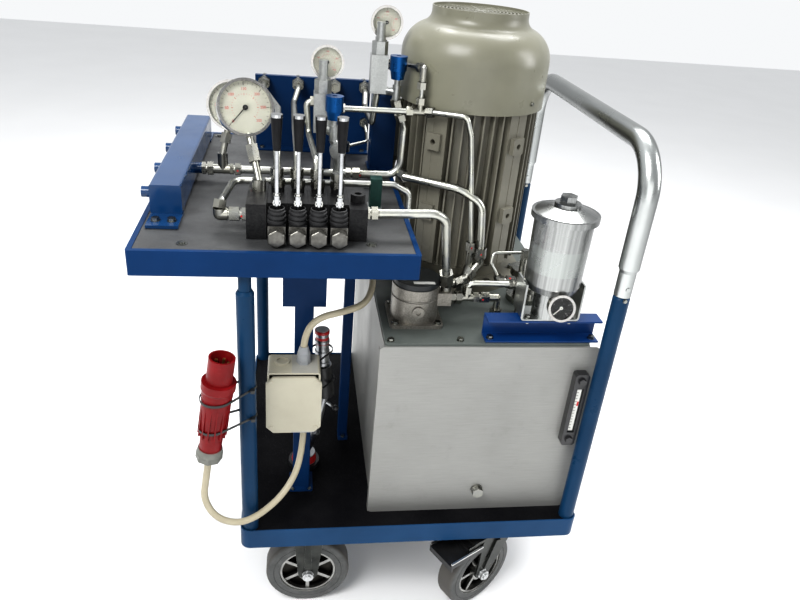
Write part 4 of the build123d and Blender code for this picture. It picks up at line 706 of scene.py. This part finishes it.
# ------------------------------------------------------------------ lever boots
boot_finish = plastic("boot_rubber", (0.010, 0.010, 0.011), rough=0.55, bump_scale=500, dust=0.2)
boots = bpy.data.meshes.new("boots")
joined = bmesh.new()
profile = [(15.1, 1008), (17.4, 1008.4), (17.6, 1011), (17.4, 1013.6), (14.6, 1015.2),
           (14.4, 1016.2), (17.2, 1018), (17.4, 1020.4), (16.8, 1022.6), (13.9, 1024.2),
           (13.8, 1025.2), (16.2, 1027), (16.4, 1029), (15.7, 1031), (13.2, 1032.4),
           (13.0, 1033.2), (14.6, 1034.4), (14.4, 1036.4), (12.9, 1037), (12.8, 1030),
           (12.8, 1019.5), (15.1, 1018.2)]
for number in range(4):
    foot = lever_foot(number)
    ring = revolved("boot", [(r / 1000, z / 1000) for r, z in profile], foot, (0, 0, 1), 40)
    joined.from_mesh(ring)
    bpy.data.meshes.remove(ring)
for face in [face for face in joined.faces if len(face.verts) > 8]:
    joined.faces.remove(face)
joined.to_mesh(boots)
joined.free()
boot_row = place("lever_boot_row", boots, boot_finish)
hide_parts("lever_boots")


# ------------------------------------------------------------------ gauge dials
# a scale runs clockwise from its lowest number, in degrees
DIAL_START = 225
DIAL_SWEEP = 270


def dial_material(name, colour):
    """Matt printed card or enamel."""
    m = Nodes(name)
    tone = m.mix(m.ramp(m.noise(40, 4), 0.3, 0.7), shade(colour, 0.93), colour)
    m.bump((m.noise(600, 2), 0.03, 0.0002))
    return m.finish(tone, m.ramp(m.noise(30, 3), 0.3, 0.7, 0.42, 0.55))


dial_cream = dial_material("dial_cream", (0.52, 0.50, 0.42))
dial_black = dial_material("dial_black", (0.010, 0.010, 0.011))
print_black = dial_material("print_black", (0.012, 0.012, 0.012))
print_red = dial_material("print_red", (0.55, 0.02, 0.02))
print_white = dial_material("print_white", (0.80, 0.80, 0.77))


def marks(name, plane, rings):
    """Flat printed bars on a dial. rings are (radius, length, width, count)."""
    solids = []
    for radius, length, width, count in rings:
        for step in range(count):
            angle = radians(DIAL_START - DIAL_SWEEP * step / (count - 1))
            spot = Matrix.Translation((radius * cos(angle), radius * sin(angle), 0))
            solids.append((plane @ spot @ Matrix.Rotation(angle, 4, "Z"),
                           (length, width, 0.0001)))
    return boxes(name, solids)


def numeral(name, text, plane, x, y, size, material):
    """One number printed on a dial."""
    curve = bpy.data.curves.new(name, "FONT")
    curve.body = text
    curve.size = size
    curve.align_x, curve.align_y = "CENTER", "CENTER"
    curve.extrude = 0.00004
    curve.materials.append(material)
    obj = bpy.data.objects.new(name, curve)
    bpy.context.scene.collection.objects.link(obj)
    obj.matrix_world = plane @ Matrix.Translation((x, y, 0))
    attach(obj, "chassis")


# name, bezel radius, face colour, printing colour, numbers, the inner scale
dials = [
    ("main", 53.5, dial_cream, print_black, (0, 50, 100, 150, 200, 250, 300), True),
    ("system", 53.5, dial_cream, print_black, (0, 2, 4, 6, 8, 10, 12), True),
    ("left_valve", 34.5, dial_cream, print_black, (0, 100, 200, 300, 400), True),
    ("right_valve", 34.5, dial_cream, print_black, (0, 100, 200, 300, 400), True),
    ("filter", 28.0, dial_black, print_white, (0, 2, 4, 6, 8), False),
]
for name, radius, face, ink, numbers, two_scales in dials:
    joint = joint_of(name + "_pointer_turn")
    out = Vector(joint["axis"])
    middle = Vector(joint["pos_m"])
    across = Vector((0, 0, 1)).cross(out)
    reach = (radius - 5.2) / 1000
    plane = basis(out, across, middle - out * 0.0088)
    disc = revolved(name + "_face", [(reach * 0.02, 0), (reach * 0.5, 0.0001), (reach, 0.00012),
                                     (reach, -0.0001), (reach * 0.02, -0.0001)],
                    middle - out * 0.0089, out, 64)
    place(name + "_dial", disc, face)
    printed = basis(out, across, middle - out * 0.0086)
    steps = 4 * (len(numbers) - 1) + 1
    ring = marks(name + "_ticks", printed,
                 [(reach * 0.90, reach * 0.13, reach * 0.022, len(numbers)),
                  (reach * 0.92, reach * 0.08, reach * 0.012, steps)])
    place(name + "_scale", ring, ink, smooth=False)
    if two_scales:
        inner = marks(name + "_inner_ticks", printed,
                      [(reach * 0.50, reach * 0.07, reach * 0.018, 7),
                       (reach * 0.52, reach * 0.04, reach * 0.012, 25)])
        place(name + "_inner_scale", inner, print_red, smooth=False)
    for index, number in enumerate(numbers):
        angle = radians(DIAL_START - DIAL_SWEEP * index / (len(numbers) - 1))
        numeral(f"{name}_number_{index}", str(number), printed, reach * 0.71 * cos(angle),
                reach * 0.71 * sin(angle), reach * 0.15, print_red if two_scales else ink)


# ------------------------------------------------------------------ small printed and fitted pieces
label_white = dial_material("label_white", (0.66, 0.66, 0.62))
plate = boxes("lid_label", [(Matrix.Translation(at(385, 140, 846.3)), (0.046, 0.011, 0.0006))])
place("filter_lid_label", plate, label_white)

strip = boxes("level_strip", [(Matrix.Translation(at(733.5, 34.6, 588)), (0.010, 0.0008, 0.112))])
place("level_strip_white", strip, label_white)
lines = [(Matrix.Translation(at(731, 34.0, 540 + 8 * step)), (0.0045, 0.0005, 0.0009))
         for step in range(13)]
place("level_strip_lines", boxes("level_lines", lines), print_black, smooth=False)
place("level_strip_mark", boxes("level_mark", [(Matrix.Translation(at(736, 34.0, 606)),
                                                (0.004, 0.0005, 0.012))]), print_red,
      smooth=False)


def clevis(number):
    """The fork, pin and lock nut at a lever's foot."""
    foot = lever_foot(number - 1)
    solids = []
    for side in (-1, 1):
        solids.append((Matrix.Translation(foot + Vector((side * 0.0048, 0, 1.0455))),
                       (0.0032, 0.009, 0.008)))
    solids.append((Matrix.Translation(foot + Vector((0, 0, 1.0505))), (0.0128, 0.011, 0.004)))
    mesh = boxes(f"clevis_{number}", solids)
    made = bmesh.new()
    made.from_mesh(mesh)
    for low, high, size in ((1.0525, 1.0585, 0.0072), (1.0600, 1.0640, 0.0062)):
        ring = revolved("ring", [(size - 0.0006, low), (size, low + 0.0006),
                                 (size, high - 0.0006), (size - 0.0006, high)], foot, (0, 0, 1), 6)
        made.from_mesh(ring)
        bpy.data.meshes.remove(ring)
    pin = revolved("pin", [(0.0010, -0.0076), (0.0024, -0.0072), (0.0024, 0.0072),
                           (0.0010, 0.0076)], foot + Vector((0, 0, 1.0448)), (1, 0, 0), 16)
    made.from_mesh(pin)
    bpy.data.meshes.remove(pin)
    made.to_mesh(mesh)
    made.free()
    mesh.update()
    return mesh


clevis_steel = zinc("clevis_zinc", (0.66, 0.67, 0.67), rough=0.22)
for number in range(1, 5):
    place(f"lever_clevis_{number}", clevis(number), clevis_steel, body=f"valve_lever_{number}",
          smooth=False)

# torque marks: a dab of red paint on the flats of the nuts
dab_red = dial_material("dab_red", (0.62, 0.015, 0.015))
dabs = [(at(258, 383 - 11.95, 1000), (0, -1, 0)), (at(-13, 383 - 11.95, 1000), (0, -1, 0)),
        (at(14, 105 - 12.4, 1004), (0, -1, 0)), (at(395, 308.5, 1162), (0.55, -0.83, 0)),
        (at(512, 267, 872), (0, -1, 0)), (at(534.5, 259.4, 860), (0, -1, 0)),
        (at(520, 148.5, 803), (0, -1, 0)), (at(586, 185, 838), (0, -0.6, 0.8))]
dab_solids = [(basis(normal, (0, 0, 1) if abs(normal[2]) < 0.7 else (1, 0, 0), spot),
               (0.0034, 0.0034, 0.0005)) for spot, normal in dabs]
place("torque_dabs", boxes("torque_dabs", dab_solids), dab_red)


# ------------------------------------------------------------------ cables
def cable_material(name):
    """Cream sheathed cable with the lay of its cores just showing."""
    m = Nodes(name)
    base = m.mix(m.ramp(m.noise(18, 5), 0.3, 0.7), (0.310, 0.275, 0.190), (0.385, 0.345, 0.250))
    grime = m.mix(m.ramp(m.noise(55, 6, 0.7), 0.56, 0.8, 0.0, 0.4), base, (0.25, 0.22, 0.16))
    m.bump((m.noise(320, 3), 0.14, 0.0005))
    return m.finish(grime, m.ramp(m.noise(40, 4), 0.3, 0.7, 0.40, 0.56), Coat_Weight=0.1)


CORD_RADIUS = 0.00725


def cable(name, points, node):
    """A cord along its route that stands for a CAD node."""
    curve = bpy.data.curves.new(name, "CURVE")
    curve.dimensions = "3D"
    spline = curve.splines.new("NURBS")
    spline.points.add(len(points) - 1)
    for point, spot in zip(spline.points, points):
        point.co = (*spot, 1.0)
    spline.order_u = 3
    spline.use_endpoint_u = True
    spline.resolution_u = 12
    curve.bevel_depth = CORD_RADIUS
    curve.bevel_resolution = 6
    curve.use_fill_caps = True
    curve.materials.append(cable_material(name + "_sheath"))
    obj = bpy.data.objects.new(name, curve)
    bpy.context.scene.collection.objects.link(obj)
    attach(obj, "chassis")
    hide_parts(node)


supply_points = [at(138, 100, 508), at(136, 92, 446), at(118, 62, 385), at(75, 20, 350),
                 at(12, -22, 336), at(-44, -28, 358), at(-71, -23, 412), at(-63, -18, 467),
                 at(-55, -18, 522)]
motor_cable_points = [at(135, 104, 712), at(138, 105, 748), at(165, 108, 779),
                      at(212, 112, 790), at(258, 124, 800), at(278, 158, 818),
                      at(283, 215, 836), at(284, 280, 848), at(290, 350, 858),
                      at(300, 420, 866), at(318, 490, 874), at(340, 550, 890),
                      at(356, 590, 926), at(366, 604, 972)]
cable("supply_lead", supply_points, "supply_cable")
cable("motor_lead", motor_cable_points, "motor_cable")

# ------------------------------------------------------------------ edges of the CAD nodes
soft_edges = {
    "platform_frame": 1.0, "tray_frame": 0.7, "tray_legs": 0.8, "collector_header": 1.0,
    "valve_supports": 0.7, "valve_block": 0.6, "filter_mount": 0.5, "tank_body": 0.6,
    "tank_lid": 0.6, "pipe_fittings": 0.35, "fasteners": 0.25, "pressure_blocks": 0.5,
    "junction_box": 0.9, "return_filter": 0.9, "offline_filter": 0.6, "motor_housing": 0.5,
    "motor_fan_cowl": 0.5, "motor_terminal_box": 1.2, "level_gauge": 0.6, "cee_plug": 0.5,
    "gauge_cases": 0.5, "left_adjusting_knob": 0.5, "right_adjusting_knob": 0.5,
    "stowed_pump": 0.6, "caster_mounts": 0.5, "front_swivel_fork": 0.5,
    "rear_swivel_fork": 0.5, "front_brake_pedal": 0.6, "rear_brake_pedal": 0.6,
    "valve_lever_1": 0.5, "valve_lever_2": 0.5, "valve_lever_3": 0.5, "valve_lever_4": 0.5,
}
for name, node in nodes.items():
    node.data.shade_smooth()
    node.data.set_sharp_from_angle(angle=radians(32))
    if name in soft_edges:
        bevel = node.modifiers.new("edge", "BEVEL")
        bevel.width = soft_edges[name] / 1000
        bevel.segments = 2
        bevel.limit_method = "ANGLE"
        bevel.angle_limit = radians(38)
        bevel.use_clamp_overlap = True

# ------------------------------------------------------------------ floor and light
floor_mesh = bpy.data.meshes.new("floor")
floor_maker = bmesh.new()
bmesh.ops.create_grid(floor_maker, x_segments=1, y_segments=1, size=9.0)
floor_maker.to_mesh(floor_mesh)
floor_maker.free()
floor = bpy.data.objects.new("floor", floor_mesh)
bpy.context.scene.collection.objects.link(floor)
floor_finish = Nodes("floor_plain")
floor_mesh.materials.append(floor_finish.finish(
    floor_finish.mix(floor_finish.ramp(floor_finish.noise(2), 0.3, 0.7), (0.80, 0.80, 0.80),
                     (0.82, 0.82, 0.82)), 0.8))

# a pale sky, brighter behind the object than in front of it
world = bpy.data.worlds.new("world")
bpy.context.scene.world = world
world.use_nodes = True
sky = world.node_tree.nodes
direction = sky.new("ShaderNodeTexCoord")
height = sky.new("ShaderNodeSeparateXYZ")
fade = sky.new("ShaderNodeMapRange")
fade.inputs["From Min"].default_value = -0.05
fade.inputs["From Max"].default_value = 0.75
grey = sky.new("ShaderNodeMix")
grey.data_type = "RGBA"
grey.inputs[6].default_value = (0.78, 0.79, 0.80, 1.0)
grey.inputs[7].default_value = (0.96, 0.98, 1.0, 1.0)
behind = sky.new("ShaderNodeMapRange")
behind.inputs["From Min"].default_value = -0.5
behind.inputs["From Max"].default_value = 0.5
behind.inputs["To Min"].default_value = 0.45
behind.inputs["To Max"].default_value = 1.0
world.node_tree.links.new(direction.outputs["Generated"], height.inputs[0])
world.node_tree.links.new(height.outputs["Z"], fade.inputs["Value"])
world.node_tree.links.new(height.outputs["Y"], behind.inputs["Value"])
world.node_tree.links.new(behind.outputs["Result"], sky["Background"].inputs[1])
world.node_tree.links.new(fade.outputs["Result"], grey.inputs[0])
world.node_tree.links.new(grey.outputs[2], sky["Background"].inputs[0])


def area_light(name, spot, target, size, power):
    """A rectangular light at spot that faces target, size in metres and power in watts."""
    data = bpy.data.lights.new(name, "AREA")
    data.shape = "RECTANGLE"
    data.size, data.size_y = size
    data.energy = power
    obj = bpy.data.objects.new(name, data)
    bpy.context.scene.collection.objects.link(obj)
    obj.location = spot
    obj.rotation_euler = (Vector(target) - Vector(spot)).to_track_quat("-Z", "Y").to_euler()


area_light("key", (-1.6, -1.8, 3.4), (0, 0, 0.8), (1.6, 1.6), 125)
area_light("top", (0.5, 1.2, 3.6), (0, 0.1, 0.8), (2.4, 1.2), 100)
area_light("side", (2.8, -0.6, 2.0), (0.1, 0, 0.7), (0.8, 1.8), 46)
area_light("fill", (-0.4, -3.6, 1.3), (0, 0, 0.6), (3.6, 2.2), 30)

bpy.context.scene.view_settings.view_transform = "Standard"
bpy.context.scene.view_settings.look = "Medium High Contrast"
